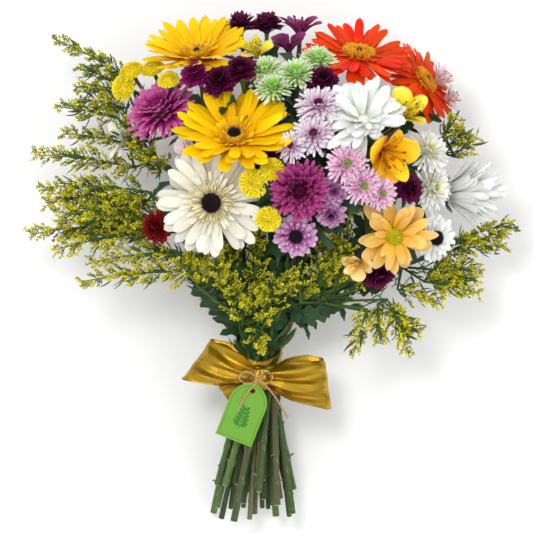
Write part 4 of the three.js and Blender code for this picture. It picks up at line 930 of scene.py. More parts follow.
def leaf_material(name, dark, light, vein):
    """A leaf: a pale midrib and side veins over a mottled green, duller in some leaves than in others."""
    nodes = Nodes(name)
    across, along = nodes.across_and_along()
    random, _, third = nodes.shares()
    side = nodes.off_centre(across)
    slant = nodes.maths("SUBTRACT", nodes.times(along, 34.0), nodes.times(side, 40.0))
    branches = nodes.maths("POWER", nodes.maths("ABSOLUTE", nodes.maths("SINE", slant)), 9.0)
    midrib = nodes.maths("SUBTRACT", 1.0, nodes.maths("MINIMUM", nodes.times(side, 26.0), 1.0))
    ribs = nodes.maths("MAXIMUM", midrib, nodes.times(branches, 0.3))
    mottled = nodes.noise(3, 5, 2.5, 5.0)
    base = nodes.mix(nodes.scaled(mottled, 0.9, nodes.times(random, 0.4)), dark, light)
    base = nodes.mix(nodes.times(ribs, 0.5), base, vein)
    base = nodes.varied(base, nodes.scaled(third, 0.5, 0.75))
    height = nodes.maths("SUBTRACT", nodes.times(mottled, 0.4), ribs)
    return nodes.finish(base, 0.5, nodes.bump(height, 0.4), Subsurface_Weight=0.1,
                        Subsurface_Scale=MILLIMETRE, Specular_IOR_Level=0.4)


def stem_material():
    """Cut stems: green with lengthwise fibres, some of them brown and woody, with pale scars."""
    nodes = Nodes("stem")
    random, cut, third = nodes.shares()
    fibres = nodes.noise(22, 2.4, 1.0, 5.0, 0.6)
    patches = nodes.noise(2.2, 6, 1.3)
    green = nodes.mix(fibres, "0e1e0a", "6f8f4c")
    brown = nodes.mix(fibres, "1a140c", "988c68")
    woody = nodes.maths("GREATER_THAN", nodes.scaled(patches, 0.6, nodes.times(random, 0.75)), 0.74)
    base = nodes.mix(nodes.times(woody, 0.7), green, brown)
    scars = nodes.maths("GREATER_THAN", nodes.noise(4, 9, 1.7, 1.0), 0.68)
    base = nodes.mix(nodes.times(scars, 0.45), base, "b9b184")
    base = nodes.mix(cut, base, "c9cda0")
    base = nodes.varied(base, nodes.scaled(third, 0.9, 0.36))
    return nodes.finish(base, 0.55, nodes.bump(fibres, 0.6), Specular_IOR_Level=0.3)


def satin_material():
    """Satin ribbon: a fine warp along it, a soft sheen and a woven edge. Its colour also holds painted shade
    and highlights: broad dark and light bands for the shading of its folds, and fine bright streaks for the
    sheen along it.
    """
    nodes = Nodes("satin")
    across = nodes.across_and_along()[0]
    threads = nodes.maths("SINE", nodes.times(across, 520.0))
    streaks_and_sheen = nodes.noise(60, 0.8, 1.0, 2.0)
    edge = nodes.maths("GREATER_THAN", nodes.off_centre(across), 0.482)
    # Broad bands of painted shade and highlight, standing in for the shading of the folds.
    bands = nodes.scaled(nodes.noise(4.5, 0.9, 1.0, 1.0), 2.4, -0.7)
    # Painted shade and highlights: the colour runs from dark to light gold with the fine streaks, a painted
    # sheen along the satin, and with the broad bands, painted shading of its folds.
    base = nodes.mix(nodes.scaled(streaks_and_sheen, 0.5, nodes.times(bands, 0.6)), "785806", "d0a82a")
    base = nodes.mix(nodes.times(edge, 0.55), base, "5f430a")
    height = nodes.scaled(threads, 0.5, streaks_and_sheen)
    return nodes.finish(base, 0.24, nodes.bump(height, 0.03), Metallic=0.75, Specular_IOR_Level=0.6,
                        Sheen_Tint=colour("ffe49a"), Sheen_Weight=0.1, Sheen_Roughness=0.4, Anisotropic=0.6)


def jute_material():
    """Jute: rough, hairy, uneven strands."""
    nodes = Nodes("jute")
    strands = nodes.noise(10, 60, 1.0, 5.0, 0.7)
    base = nodes.mix(nodes.scaled(strands, 0.8, nodes.times(nodes.shares()[0], 0.3)), "8a6234", "dcb57c")
    return nodes.finish(base, 0.9, nodes.bump(strands, 0.3), Sheen_Weight=0.3)


def card_material(name, low, high):
    """Uncoated tag card with a fine tooth."""
    nodes = Nodes(name)
    grain = nodes.noise(90, 140, 1.0, 4.0, 0.7)
    base = nodes.mix(nodes.noise(3, 5, 1.0, 2.0), low, high)
    return nodes.finish(base, 0.62, nodes.bump(grain, 0.05), Specular_IOR_Level=0.35)


GREEN = leaf_material("leaf", "0f2410", "28502a", "5d8248")
NEEDLE = leaf_material("needle", "1c3a14", "4a7a30", "7aa04c")
STEM = stem_material()
SATIN = satin_material()
# The dark green ends of the goldenrod buds' and twigs' colours are partly the plants' own green and partly
# painted shade.
BUDS = floret_material("goldenrod_buds", "3c5e12", "e8dc2c", roughness=0.75)
TWIG = floret_material("goldenrod_twigs", "2f4a14", "6f8c30")

# Centres, florets and anthers: their dark and their light colour.
FLORETS = {
    "dark_florets": ("070308", "2a1220"),
    "florets_orange": ("b8700a", "ffcc24"),
    "florets_cream": ("9c8850", "f2e9c0"),
    "florets_ember": ("3a1006", "a8480c"),
    "florets_gold": ("b85a08", "ffc02a"),
    "florets_lime": ("8aa33a", "dfe39a"),
    "florets_wine": ("2a0418", "6a0f40"),
    "florets_fuchsia": ("4a0828", "9a2c70"),
    "florets_red": ("3a0410", "8a2a1e"),
    "florets_purple": ("2e0420", "7a1c5c"),
    "florets_green": ("3f8a1c", "b8d860"),
    "florets_honey": ("7aa01a", "f6dc20"),
    "florets_disc": ("6f9a14", "f0d61c"),
    "stamens_peach": ("c08a40", "e8c890"),
    "anthers": ("3a2410", "8a6a3c"),
    "stamens_orange": ("d08a10", "f0b840"),
    "stamens_butter": ("c8b420", "ece070"),
    "anthers_grey": ("4a3a38", "9a8a80"),
    "stamens_blush": ("c890a0", "f0d0d8"),
    "anthers_dark": ("1a0c14", "5a3a44"),
    "stamens_purple": ("6a1858", "a84a90"),
    "florets_black": ("100208", "3a0820"),
    "florets_bright": ("3fae18", "9be048"),
}

# For each name of colours: what petal_material takes, then the centre and the florets. Where only one name
# follows, the florets are like the centre.
PALETTES = {
    "yellow": (("f6a600", "ffcc00", "ffdc08", "fab800", 0.4), "dark_florets", "florets_orange"),
    "white": (("cfc79c", "f1eee0", "faf9f2", "e0d8b0", 0.5), "dark_florets", "florets_cream"),
    "red": (("f2640a", "ec3a06", "ee4008", "ee6410", 0.35), "florets_ember", "florets_gold"),
    "snow": (("e4e8dc", "fafbf8", "ffffff", "eff0e4", 0.2), "dark_florets"),
    "ivory": (("ecebc4", "fbfaf0", "ffffff", "eceab8", 0.1), "florets_lime", "dark_florets"),
    "magenta": (("300218", "8c0858", "e45cb0", "240312", 0.6), "florets_wine"),
    "fuchsia": (("8c0c5c", "d02c98", "f286cc", "8c1068", 0.4), "florets_fuchsia"),
    "plum": (("5a0a3c", "8a1660", "a82a7c", "42062a", 0.4), "florets_wine"),
    "wine": (("4a0710", "8a1420", "a8202c", "3a060c", 0.4), "florets_red"),
    "pink": (("a8409a", "fadcf2", "ffffff", "d490c4", 0.1), "florets_purple"),
    "rose": (("d070ac", "f6b6dc", "ffe4f6", "f2b4d6", 0.12), "florets_green"),
    "lilac": (("963088", "c474b2", "f2cae8", "a04494", 0.5), "dark_florets"),
    "honey": (("f2b01c", "f8c65c", "fad690", "f6be4c", 0.5), "florets_honey"),
    "peach": (("f6b028", "f8c878", "fbdca2", "f6c058", 0.2, "a0521c"), "florets_disc", "stamens_peach"),
    "orange": (("f6a800", "ffbe10", "ffd038", "fab008", 0.3, "7a1c0c"), "anthers", "stamens_orange"),
    "butter": (("e0c000", "f6df20", "fbec62", "f0d418", 0.2, "6a2a10"), "anthers", "stamens_butter"),
    "blush": (("d7a2b4", "eed6dc", "f8eef0", "e8d8b0", 0.25, "7a1c34"), "anthers_grey", "stamens_blush"),
    "purple": (("560c40", "8a2468", "b04a8c", "96406e", 0.4, "2a0420"), "anthers_dark", "stamens_purple"),
    "lemon": (("e8c400", "ffe80c", "fff650", "f0d408", 0.1), "dark_florets"),
    "burgundy": (("22040f", "4e0b34", "7d2055", "1c040e", 0.4), "florets_black"),
    "lime": (("78c414", "d2ee8c", "fbffec", "9cdc34", 0.15), "florets_bright"),
}


def make_blooms():
    """One piece for each node of blooms, which also stands for the node's disc."""
    florets = {name: floret_material(name, *shades) for name, shades in FLORETS.items()}
    petals = {name: petal_material(name, *row[0]) for name, row in PALETTES.items()}
    by_node = {}
    for number, row in enumerate(BLOOMS):
        by_node.setdefault(row[0], []).append((number, row))
    for node, rows in by_node.items():
        surface = Surface()
        used = list(dict.fromkeys(row[2] for _, row in rows))
        materials = []
        for palette in used:
            centres = PALETTES[palette][1:]
            materials += [petals[palette], GREEN, florets[centres[0]], florets[centres[-1]]]
        for number, (_, kind, palette, at, faces, radius, _) in rows:
            surface.first_slot = 4 * used.index(palette)
            bloom = Bloom(surface, node, number, at, faces, radius)
            KINDS[kind][0](bloom)
            add_cup(bloom, kind)
        piece = surface.build(node + "_bloom", materials)
        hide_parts(*[name for name in (node, node + "_disc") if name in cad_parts])


# Stems.
def repeated_draws(seed):
    """The same row of random numbers that the solids are made with."""
    mask = 0xFFFFFFFF
    state = seed * 2654435761 & mask
    while True:
        state = state + 0x6D2B79F5 & mask
        mixed = (state ^ state >> 15) * (state | 1) & mask
        mixed = (mixed + ((mixed ^ mixed >> 7) * (mixed | 61) & mask) & mask) ^ mixed
        yield (mixed ^ mixed >> 14) / 4294967296


# The rings of seats in the tie: how many stems each has, and how far it is from the axis. Then how much the
# tails spread and turn below the tie, and how much the stems spread and lean forward above it.
RINGS = [(1, 0), (6, 6.1), (12, 12.2)]
TAIL_FLARE = 0.1
TAIL_TWIST = 0.22
HEAD_FLARE = 0.16
HEAD_LEAN = 0.02
# The steps in a stem's tail, in the stem above the tie, and in a branch.
TAIL_STEPS = 14
STEM_STEPS = 24
TWIG_STEPS = 12
# The thin stems among the main ones: how many, how far round the tie each is from the last (in turns), how
# far from its axis the outermost is, and the limits of their tails' lengths and of their radii.
THIN_STEMS = 28
THIN_STEM_TURN = 0.382
THIN_STEM_REACH = 11
THIN_TAILS = (84, 122)
THIN_RADII = (1.4, 2.3)
# The short band in which the string presses the stems together. Then the radii of the two ends of a stem's
# pale cut face, as shares of the stem's own radius there.
BAND_RADIUS = 15.6
BAND_LENGTH = 5
CUT_SHARES = (0.86, 0.8)
# The joints of a main stem: how many are drawn, the steps between them, how much each swells as a share of
# the radius, and how far it reaches from its middle. Then the lengths of the stubs of old leaves, and how
# much of a stem's foot has them.
JOINTS = 20
JOINT_STEPS = (22, 40)
JOINT_SWELLING = (0.15, 0.4)
JOINT_REACH = 2.2
STUB_LENGTHS = (3.4, 6)
STUBBED_LENGTH = 100


def round_tie(angle):
    """At a bearing round the tie: the way out from its axis, and the way round it."""
    cosine, sine = math.cos(angle), math.sin(angle)
    return ACROSS * cosine + OUTWARD * sine, OUTWARD * cosine - ACROSS * sine


def stem_targets():
    """Where each main stem ends, and the branches that leave it, in the order of the tables."""
    targets = []

    def put(top, ahead, cup, neck, branch):
        place = {"top": top, "ahead": ahead, "cup": cup, "neck": neck, "branches": []}
        (targets[-1]["branches"] if branch else targets).append(place)

    for _, kind, _, at, faces, radius, branch in BLOOMS:
        _, depth, cup = KINDS[kind]
        ahead = facing(*faces)[:, 2]
        put(vector(*at) + ahead * (1.2 - depth * radius), ahead, cup * radius, max(7, 0.3 * radius), branch)
    for _, fork, plumes, branch in SPRAYS:
        top = vector(*fork)
        put(top, unit(sum(unit(vector(*root) - top) for root, _, _ in plumes)), 1.5, 8, branch)
    return targets


def seat_stems(targets):
    """Gives every main stem its seat in the tie and the way its tail leaves below."""
    for target in targets:
        away = target["top"] - TIE
        across = away.dot(ACROSS) - HEAD_FLARE * away.dot(AXIS)
        out = away.dot(OUTWARD) - HEAD_LEAN * away.dot(AXIS)
        target["bearing"] = math.atan2(out, across)
        target["spread"] = math.hypot(across, out)
    targets.sort(key=lambda target: target["spread"])
    placed = 0
    for seats, reach in RINGS:
        group = sorted(targets[placed:placed + seats], key=lambda target: target["bearing"])
        placed += seats
        step = 2 * math.pi / len(group)
        offset = sum(target["bearing"] - i * step for i, target in enumerate(group)) / len(group)
        share = reach / RINGS[-1][1]
        for i, target in enumerate(group):
            radial, round_way = round_tie(offset + i * step)
            target["waist"] = TIE + radial * reach
            target["tail"] = -AXIS + radial * TAIL_FLARE * share + round_way * TAIL_TWIST * share
    return targets


def stem_lines():
    """Every stem and branch as a path, with its radius at each point and whether it is a main stem."""
    draws = repeated_draws(SOLIDS_SEED)
    lines = []

    def bent(start, heading, end, ahead, steps):
        """A path that leaves its start along one heading and comes to its end along another."""
        pull = 0.3 * np.linalg.norm(end - start)
        return bezier([start, start + heading * pull, end - ahead * pull, end], steps)

    for target in seat_stems(stem_targets()):
        waist, top, ahead = target["waist"], target["top"], target["ahead"]
        length = SHORTEST_TAIL + next(draws) * (LONGEST_TAIL - SHORTEST_TAIL)
        foot = waist + target["tail"] * length
        curve = bent(waist, AXIS, top - ahead * target["neck"], ahead, STEM_STEPS)
        tail = bezier([foot, (foot + waist) / 2, waist], TAIL_STEPS)[:-1]
        path = np.concatenate([tail, curve, top[None] + ahead * 0.3])
        thinning = np.linspace(STEM_RADIUS, NECK_RADIUS, STEM_STEPS + 1)
        radii = np.concatenate([np.full(TAIL_STEPS, STEM_RADIUS), thinning, [min(0.6 * target["cup"], 4)]])
        lines.append((path, radii, True))
        count = len(target["branches"])
        for i, branch in enumerate(target["branches"]):
            start = curve[round(STEM_STEPS * (0.75 + 0.2 * i / count))]
            top, ahead = branch["top"], branch["ahead"]
            way = bent(start, unit(curve[-1] - curve[-6]), top - ahead * branch["neck"], ahead, TWIG_STEPS)
            path = np.concatenate([way, top[None] + ahead * 0.3])
            radii = np.concatenate([np.full(TWIG_STEPS + 1, TWIG_RADIUS), [min(0.6 * branch["cup"], 3)]])
            lines.append((path, radii, False))
    return lines


def resampled(path, radii, spacing):
    """The same line with a point at every step of one length, its radii, and how far along each point is."""
    distance = distances(path)
    marks = np.linspace(0, distance[-1], max(4, round(distance[-1] / spacing)))
    line = np.stack([np.interp(marks, distance, path[:, axis]) for axis in range(3)], axis=1)
    return line, np.interp(marks, distance, radii), marks


def add_cut_stem(surface, line, widths, sides, shares, cut, phase=0.0):
    """A stem whose lower end is cut: its pale face is as thick as a share of the step to the next point."""
    add_tube(surface, line, widths, sides, shares=shares, phase=phase)
    face = line[0] + (line[0] - line[1]) * np.array([[0.0], [cut]])
    add_tube(surface, face, widths[0] * np.array(CUT_SHARES), sides, shares=(shares[0], 1, 0.8))


def make_stems(lines):
    """The stems, with swollen joints where leaves grew, and their cut ends."""
    surface = Surface()
    random = np.random.default_rng(SEEDS["stems"])
    for path, radii, main in lines:
        line, widths, marks = resampled(path, radii, 3.8 if main else 5)
        joints = np.cumsum(random.uniform(*JOINT_STEPS, JOINTS)) - 10
        for joint in joints if main else []:
            bulge = np.exp(-((marks - joint) / JOINT_REACH) ** 2)
            widths = widths * (1 + random.uniform(*JOINT_SWELLING) * bulge)
        widths = widths * (1 + random.normal(0, 0.035, len(widths)))
        shares = (random.uniform(), 0, random.uniform())
        phase = random.uniform(0, 1)
        if not main:
            add_tube(surface, line, widths, 6, shares=shares, phase=phase)
            continue
        add_cut_stem(surface, line, widths, 10, shares, 0.12, phase)
        for joint in np.repeat(joints[joints < STUBBED_LENGTH], 2):
            spot = line[np.argmin(np.abs(marks - joint))]
            out = random.normal(0, 1, 3)
            out = unit(out - AXIS * out.dot(AXIS)) + random.uniform(-0.3, 0.8) * AXIS
            stub = [spot, spot + out * random.uniform(*STUB_LENGTHS)]
            add_tube(surface, stub, [1.2, 0.6], 6, shares=(0.9, 0.3, 0.4))
    for k in range(THIN_STEMS):
        share = math.sqrt((k + 1) / THIN_STEMS)
        radial, round_way = round_tie(2 * math.pi * k * THIN_STEM_TURN)
        waist = TIE + radial * share * THIN_STEM_REACH
        way = -AXIS + radial * TAIL_FLARE * share + round_way * TAIL_TWIST * share * random.uniform(0.4, 1)
        foot = waist + way * random.uniform(*THIN_TAILS)
        path = np.array([foot, waist, waist + (AXIS + 0.1 * radial) * 50])
        line, widths, _ = resampled(path, np.full(3, random.uniform(*THIN_RADII)), 5)
        widths = widths * (1 + random.normal(0, 0.05, len(widths)))
        add_cut_stem(surface, line, widths, 8, (random.uniform(), 0, random.uniform()), 0.1)
    band = [TIE + AXIS * BAND_LENGTH * step for step in (-0.5, 0.5)]
    add_tube(surface, band, BAND_RADIUS, 24, shares=(0.2, 0, 0.2))
    piece = surface.build("stems_bark", [STEM])
    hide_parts("stems")


def add_leaf(surface, root, tip, face, random, width=0.5, lobes=5, depth=0.42, grid=(6, 22), slot=0,
             bend=(14, -22)):
    """A leaf from its root to its tip. Its edge has lobes, which are cut in by a share of its width.

    bend is how far it slopes at its root and at its tip, in degrees."""
    axes = along_and_face(tip - root, face)
    length = np.linalg.norm(tip - root)
    across, along = grid
    u = np.linspace(-1, 1, across + 1)[:, None]
    v = np.linspace(0, 1, along + 1)[None]
    outline = np.sin(np.pi * np.clip(v, 0.015, 0.985) ** 0.8) ** 0.7
    lobed = 1 - depth * (0.5 + 0.5 * np.cos(2 * np.pi * lobes * v**0.9)) if lobes else 1
    stalk = np.clip((v - 0.16) / 0.1, 0.1, 1)
    half = width * length / 2 * outline * lobed * stalk
    slope = np.radians(bend[0] + (bend[1] - bend[0]) * v[0])

    def along_leaf(trace):
        return np.concatenate([[0], np.cumsum(trace[1:] * np.diff(v[0]))])[None]

    run, climb = along_leaf(np.cos(slope)), along_leaf(np.sin(slope))
    x = length * run / run[0, -1] + np.abs(u) * half * 0.25
    fold = 0.26 * half * np.abs(u) + 0.05 * half * np.sin(2 * np.pi * (2.5 * v + random.uniform()) + 2 * u)
    top = np.stack([x, u * half, length * climb + fold], axis=-1)
    body = 0.45 * (1 - u**2) * np.ones_like(v)
    under = top - body[:, :, None] * vector(0, 0, 1)
    uvs = map_of((u[:, 0] + 1) / 2, v[0], "ij")
    sides = [(side @ axes.T + root)[None] for side in (top, under)]
    add_sheets(surface, *sides, uvs, random.uniform(0, 1, (1, 3)), slot)


# The leaves along a main stem and along a branch, and the narrow leaves along a main stem: how many, and the
# limits of their lengths. Then how far to a side and how low the tip of a leaf along a stem or a branch may
# be, and how low that of a narrow leaf.
STEM_LEAVES = 8
TWIG_LEAVES = 4
LEAF_LENGTHS = (20, 38)
NARROW_LEAVES = 38
NARROW_LEAF_LENGTHS = (14, 30)
WIDEST_LEAF = 170
LOWEST_LEAF = 6
LOWEST_NARROW_LEAF = 4


def way_out(random, heading, scale=(1, 1, 1)):
    """A drawn direction square to a heading."""
    out = random.normal(0, 1, 3) * scale
    return unit(out - heading * out.dot(heading))


def make_leaves(lines):
    """Large lobed leaves, smaller ones along stems and branches, and narrow ones along the main stems."""
    surface = Surface()
    narrow = Surface()
    random = np.random.default_rng(SEEDS["leaves"])
    mains = [path[TAIL_STEPS:] for path, _, main in lines if main]
    lower_points = 14
    up = vector(0, 0, 1)
    for root, tip, faces in LEAVES:
        feet = [path[np.argmin(np.linalg.norm(path[:lower_points] - root, axis=1))] for path in mains]
        foot = min(feet, key=lambda spot: np.linalg.norm(spot - root))
        add_leaf(surface, foot, vector(*tip), facing(*faces)[:, 2], random, width=0.46, depth=0.5)
    for path, _, main in lines:
        heading = unit(path[-2] - path[-6])
        for mark in random.uniform(0.25, 0.9, STEM_LEAVES if main else TWIG_LEAVES):
            step = TAIL_STEPS + round(mark * STEM_STEPS) if main else round(mark * (TWIG_STEPS - 1))
            spot = path[step]
            out = way_out(random, heading, (1, 1, 0.8))
            tip = spot + unit(out + 0.55 * heading) * random.uniform(*LEAF_LENGTHS)
            if tip[2] >= LOWEST_LEAF and np.abs(tip[0]) <= WIDEST_LEAF:
                width = random.uniform(0.4, 0.56)
                add_leaf(surface, spot, tip, heading + 0.4 * up, random, width=width, lobes=3, grid=(4, 10))
    for path in mains:
        for mark in random.uniform(0.02, 0.75, NARROW_LEAVES):
            low = int(mark * STEM_STEPS)
            heading = unit(path[low + 1] - path[low])
            out = way_out(random, heading)
            tip = path[low] + unit(0.8 * out + heading) * random.uniform(*NARROW_LEAF_LENGTHS)
            if tip[2] >= LOWEST_NARROW_LEAF:
                add_leaf(narrow, path[low], tip, out + 0.2 * up, random, width=0.15, lobes=0, grid=(2, 5))
    for name, made, material in (("leaves", surface, GREEN), ("narrow_leaves", narrow, NEEDLE)):
        piece = made.build(name, [material])
        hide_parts("stems")


# Goldenrod: the steps of a plume's curve, the length of it that each side twig takes, the least number of
# side twigs, and the steps of a side twig.
PLUME_STEPS = 20
TWIG_SPACING = 1.4
FEWEST_TWIGS = 16
SIDE_STEPS = 4
# How ripe, and so how yellow, a plume's buds are at one place along the bouquet, how much that falls with
# each millimetre towards the top, and the place. Then a bud's size.
RIPENESS = 0.53
RIPENESS_FALL = 0.0014
RIPENESS_PLACE = 70
BUD_LENGTH = 2.4
BUD_RADIUS = 0.88


def plume_line(root, tip):
    """The control points of a plume's twig, which is bent upwards and towards the flowers."""
    root, tip = vector(*root), vector(*tip)
    sag = 0.06 * np.linalg.norm(tip - root)
    return [root, (root + tip) / 2 + vector(0, sag, sag), tip]


def add_narrow_leaf(surface, spot, heading, out, lengths, random, width):
    """A narrow leaf of a goldenrod twig, of a drawn length."""
    tip = spot + unit(out + heading) * random.uniform(*lengths)
    add_leaf(surface, spot, tip, out, random, width=width, lobes=0, grid=(2, 5), slot=2)


def add_plume(surface, start, root, tip, full, random):
    """A plume: a bent twig with curved side twigs along it, each crowded with buds, and narrow leaves."""
    curve = bezier(plume_line(root, tip), PLUME_STEPS)
    arch = vector(0, 0, 0.12 * np.linalg.norm(curve[0] - start))
    stalk = bezier([start, (start + curve[0]) / 2 + arch, curve[0]], 8)[:-1]
    ripeness = RIPENESS - RIPENESS_FALL * (tip[1] - RIPENESS_PLACE)
    path = np.concatenate([stalk, curve])
    add_tube(surface, path, np.linspace(1.1, 0.4, len(path)), 6, slot=1, shares=(0.3, 0, 0.5))
    length = np.linalg.norm(curve[-1] - curve[0])
    headings = units(np.gradient(curve, axis=0))
    centres, directions, shades = [], [], []
    twigs = max(FEWEST_TWIGS, round(length / TWIG_SPACING))
    for k in range(twigs):
        share = (k + random.uniform(0, 0.9)) / twigs
        place = share * PLUME_STEPS
        low = min(int(place), PLUME_STEPS - 1)
        spot = curve[low] + (curve[low + 1] - curve[low]) * (place - low)
        heading = headings[low]
        mostly_up = vector(0.1, 0.2, 1)
        up = unit(mostly_up - heading * heading.dot(mostly_up))
        angle = random.uniform(-2.2, 2.2) if k % 4 else random.uniform(0, 2 * math.pi)
        out = up * math.cos(angle) + np.cross(heading, up) * math.sin(angle)
        reach = full * (10.6 - 6.2 * share) * random.uniform(0.55, 1.25)
        end = spot + unit(out + 0.9 * heading) * reach
        twig = bezier([spot, (spot + end) / 2 + out * 0.16 * reach, end], SIDE_STEPS)
        add_tube(surface, twig, np.linspace(0.34, 0.2, SIDE_STEPS + 1), 3, slot=1, shares=(0.5, 0, 0.6))
        buds = max(7, round(reach * 1.35))
        marks = (np.arange(buds) + random.uniform(0, 0.6, buds)) / buds
        along = np.clip(marks * 0.85 + 0.2, 0, 1) * SIDE_STEPS
        lows = np.minimum(along.astype(int), SIDE_STEPS - 1)
        bases = twig[lows] + (twig[lows + 1] - twig[lows]) * (along - lows)[:, None]
        away = units(random.normal(0, 1, (buds, 3)) + 0.8 * out + 0.5 * heading)
        centres.append(bases + away * random.uniform(0.9, 1.9, (buds, 1)))
        directions.append(away + 0.5 * heading)
        # Buds near a side twig's root, deep in the plume, are drawn greener and darker, and those at its end
        # yellower: partly ripeness, partly painted shade inside the plume and painted light on its outer
        # tips.
        ripe_and_shaded = ripeness + random.normal(0, 0.24) + 0.14 * (along - 2.2) + random.normal(0, 0.1, buds)
        shades.append(np.stack([np.clip(ripe_and_shaded, 0, 1), np.zeros(buds), random.uniform(0, 1, buds)], axis=1))
    centres, directions, shades = (np.concatenate(rows) for rows in (centres, directions, shades))
    sizes = random.uniform(0.75, 1.25, len(centres))
    add_buds(surface, centres, directions, BUD_LENGTH * sizes, BUD_RADIUS * sizes, shades)
    for spot, heading in zip(stalk[2:], units(np.gradient(stalk, axis=0))[2:]):
        out = unit(random.normal(0, 1, 3))
        add_narrow_leaf(surface, spot, heading, out, (8, 16), random, 0.17)
    for _ in range(round(length / 2.6)):
        low = random.integers(0, 15)
        out = unit(random.normal(0, 1, 3))
        add_narrow_leaf(surface, curve[low], headings[low], out, (9, 18), random, 0.16)


def between(plumes):
    """Shorter plumes between two neighbours of a spray: where each starts, its root, tip and fullness."""
    widest_gap = 34
    extra = []
    for (root, tip, full), (other_root, other_tip, other_full) in zip(plumes, plumes[1:]):
        root = (vector(*root) + other_root) / 2
        tip = (vector(*tip) + other_tip) / 2
        if np.linalg.norm(vector(*other_tip) - tip) < widest_gap:
            end = root + (tip - root) * 0.8 - vector(0, 0, 6)
            extra.append((other_root, root, end, 0.45 * (full + other_full)))
    return extra


def make_goldenrod():
    """One piece for each goldenrod spray."""
    for number, (node, fork, plumes, _) in enumerate(SPRAYS):
        surface = Surface()
        random = np.random.default_rng(SEEDS["goldenrod"] + number)
        low = LOW_PLUMES.get(node, [])
        for start, root, tip, full in [(fork, *plume) for plume in plumes + low] + between(plumes):
            add_plume(surface, vector(*start), root, tip, full, random)
        piece = surface.build(node + "_spray", [BUDS, TWIG, NEEDLE])
        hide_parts(node)


# Ribbon, string and tag.
def bundle_radius(along):
    """How far the outermost stems reach from the axis of the tie, at a distance along it."""
    reach = RINGS[-1][1]
    if along < 0:
        return math.hypot(reach - along * TAIL_FLARE, along * TAIL_TWIST) + STEM_RADIUS
    return reach + HEAD_FLARE * along + STEM_RADIUS


def near_tie(along, turn, reach):
    """A point near the tie: along the stems, round them in degrees from +X towards the front, and out."""
    return TIE + AXIS * along + round_tie(math.radians(turn))[0] * reach


KNOT = near_tie(-1, 88, bundle_radius(0) + 6)


def by_knot(x, y, z):
    """A point placed from the middle of the knot."""
    return KNOT + vector(x, y, z)


def ribbon_band(name, stations, steps=10, folds=5, edge_wave=0.6):
    """A strip of ribbon, and its length.

    A station is its middle, the way across it, its width there, and how deep its folds are."""
    thickness = 0.5
    across = 28
    middles = smooth_path([station[0] for station in stations], steps)
    fine = np.linspace(0, len(stations) - 1, len(middles))

    def spread(values):
        return np.interp(fine, np.arange(len(stations)), values)

    ways = np.array([station[1] for station in stations], float)
    ways = units(np.stack([spread(ways[:, axis]) for axis in range(3)], axis=1))
    widths = spread([station[2] for station in stations])
    depths = spread([station[3] for station in stations])
    up = units(np.cross(units(np.gradient(middles, axis=0)), ways))
    u = np.linspace(-1, 1, across + 1)[:, None]
    swerve = np.abs(u + 0.3 * np.sin(0.9 * fine[None]) * (1 - u**2)) ** 1.3 * np.sign(u)
    ripple = depths[None] * np.cos(np.pi * folds * swerve + 0.8 * np.sin(0.5 * fine[None]))
    ripple = ripple + edge_wave * np.sin(1.7 * fine[None] + 2.2 * u) * (np.abs(u) ** 2)
    top = middles[None] + ways[None] * (u * widths[None] / 2)[:, :, None] + up[None] * ripple[:, :, None]
    distance = distances(middles)
    uvs = map_of((u[:, 0] + 1) / 2, distance / RIBBON_WIDTH, "ij")
    surface = Surface()
    add_sheets(surface, top[None], (top - up[None] * thickness)[None], uvs, np.array([[0.5, 0.5, 0.5]]))
    piece = surface.build(name, [SATIN], sharp=80)
    return piece, distance[-1]


def ribbon_loop(name, out, across, bulge):
    """One loop of the bow: from the knot out to its fold, and back underneath."""
    fold = by_knot(*out)
    full = RIBBON_WIDTH
    stations = [
        (KNOT + (fold - KNOT) * share + vector(0, shift, lift * bulge), across, width, depth)
        for share, lift, width, depth, shift in [
            (0.05, 0.2, 10, 2.4, 0), (0.22, 0.9, 20, 3.0, 0), (0.45, 1.15, 31, 2.7, 0),
            (0.75, 1.05, 37, 1.7, 0), (0.95, 0.6, full, 0.7, 0), (1.0, 0.05, full, 0.1, 0.5),
            (0.95, -0.5, full, 0.3, 2), (0.7, -0.75, 36, 0.6, 5), (0.4, -0.6, 26, 1.0, 5),
            (0.05, -0.25, 9, 1.4, 0)]]
    return ribbon_band(name, stations, folds=2.6, edge_wave=1.6)


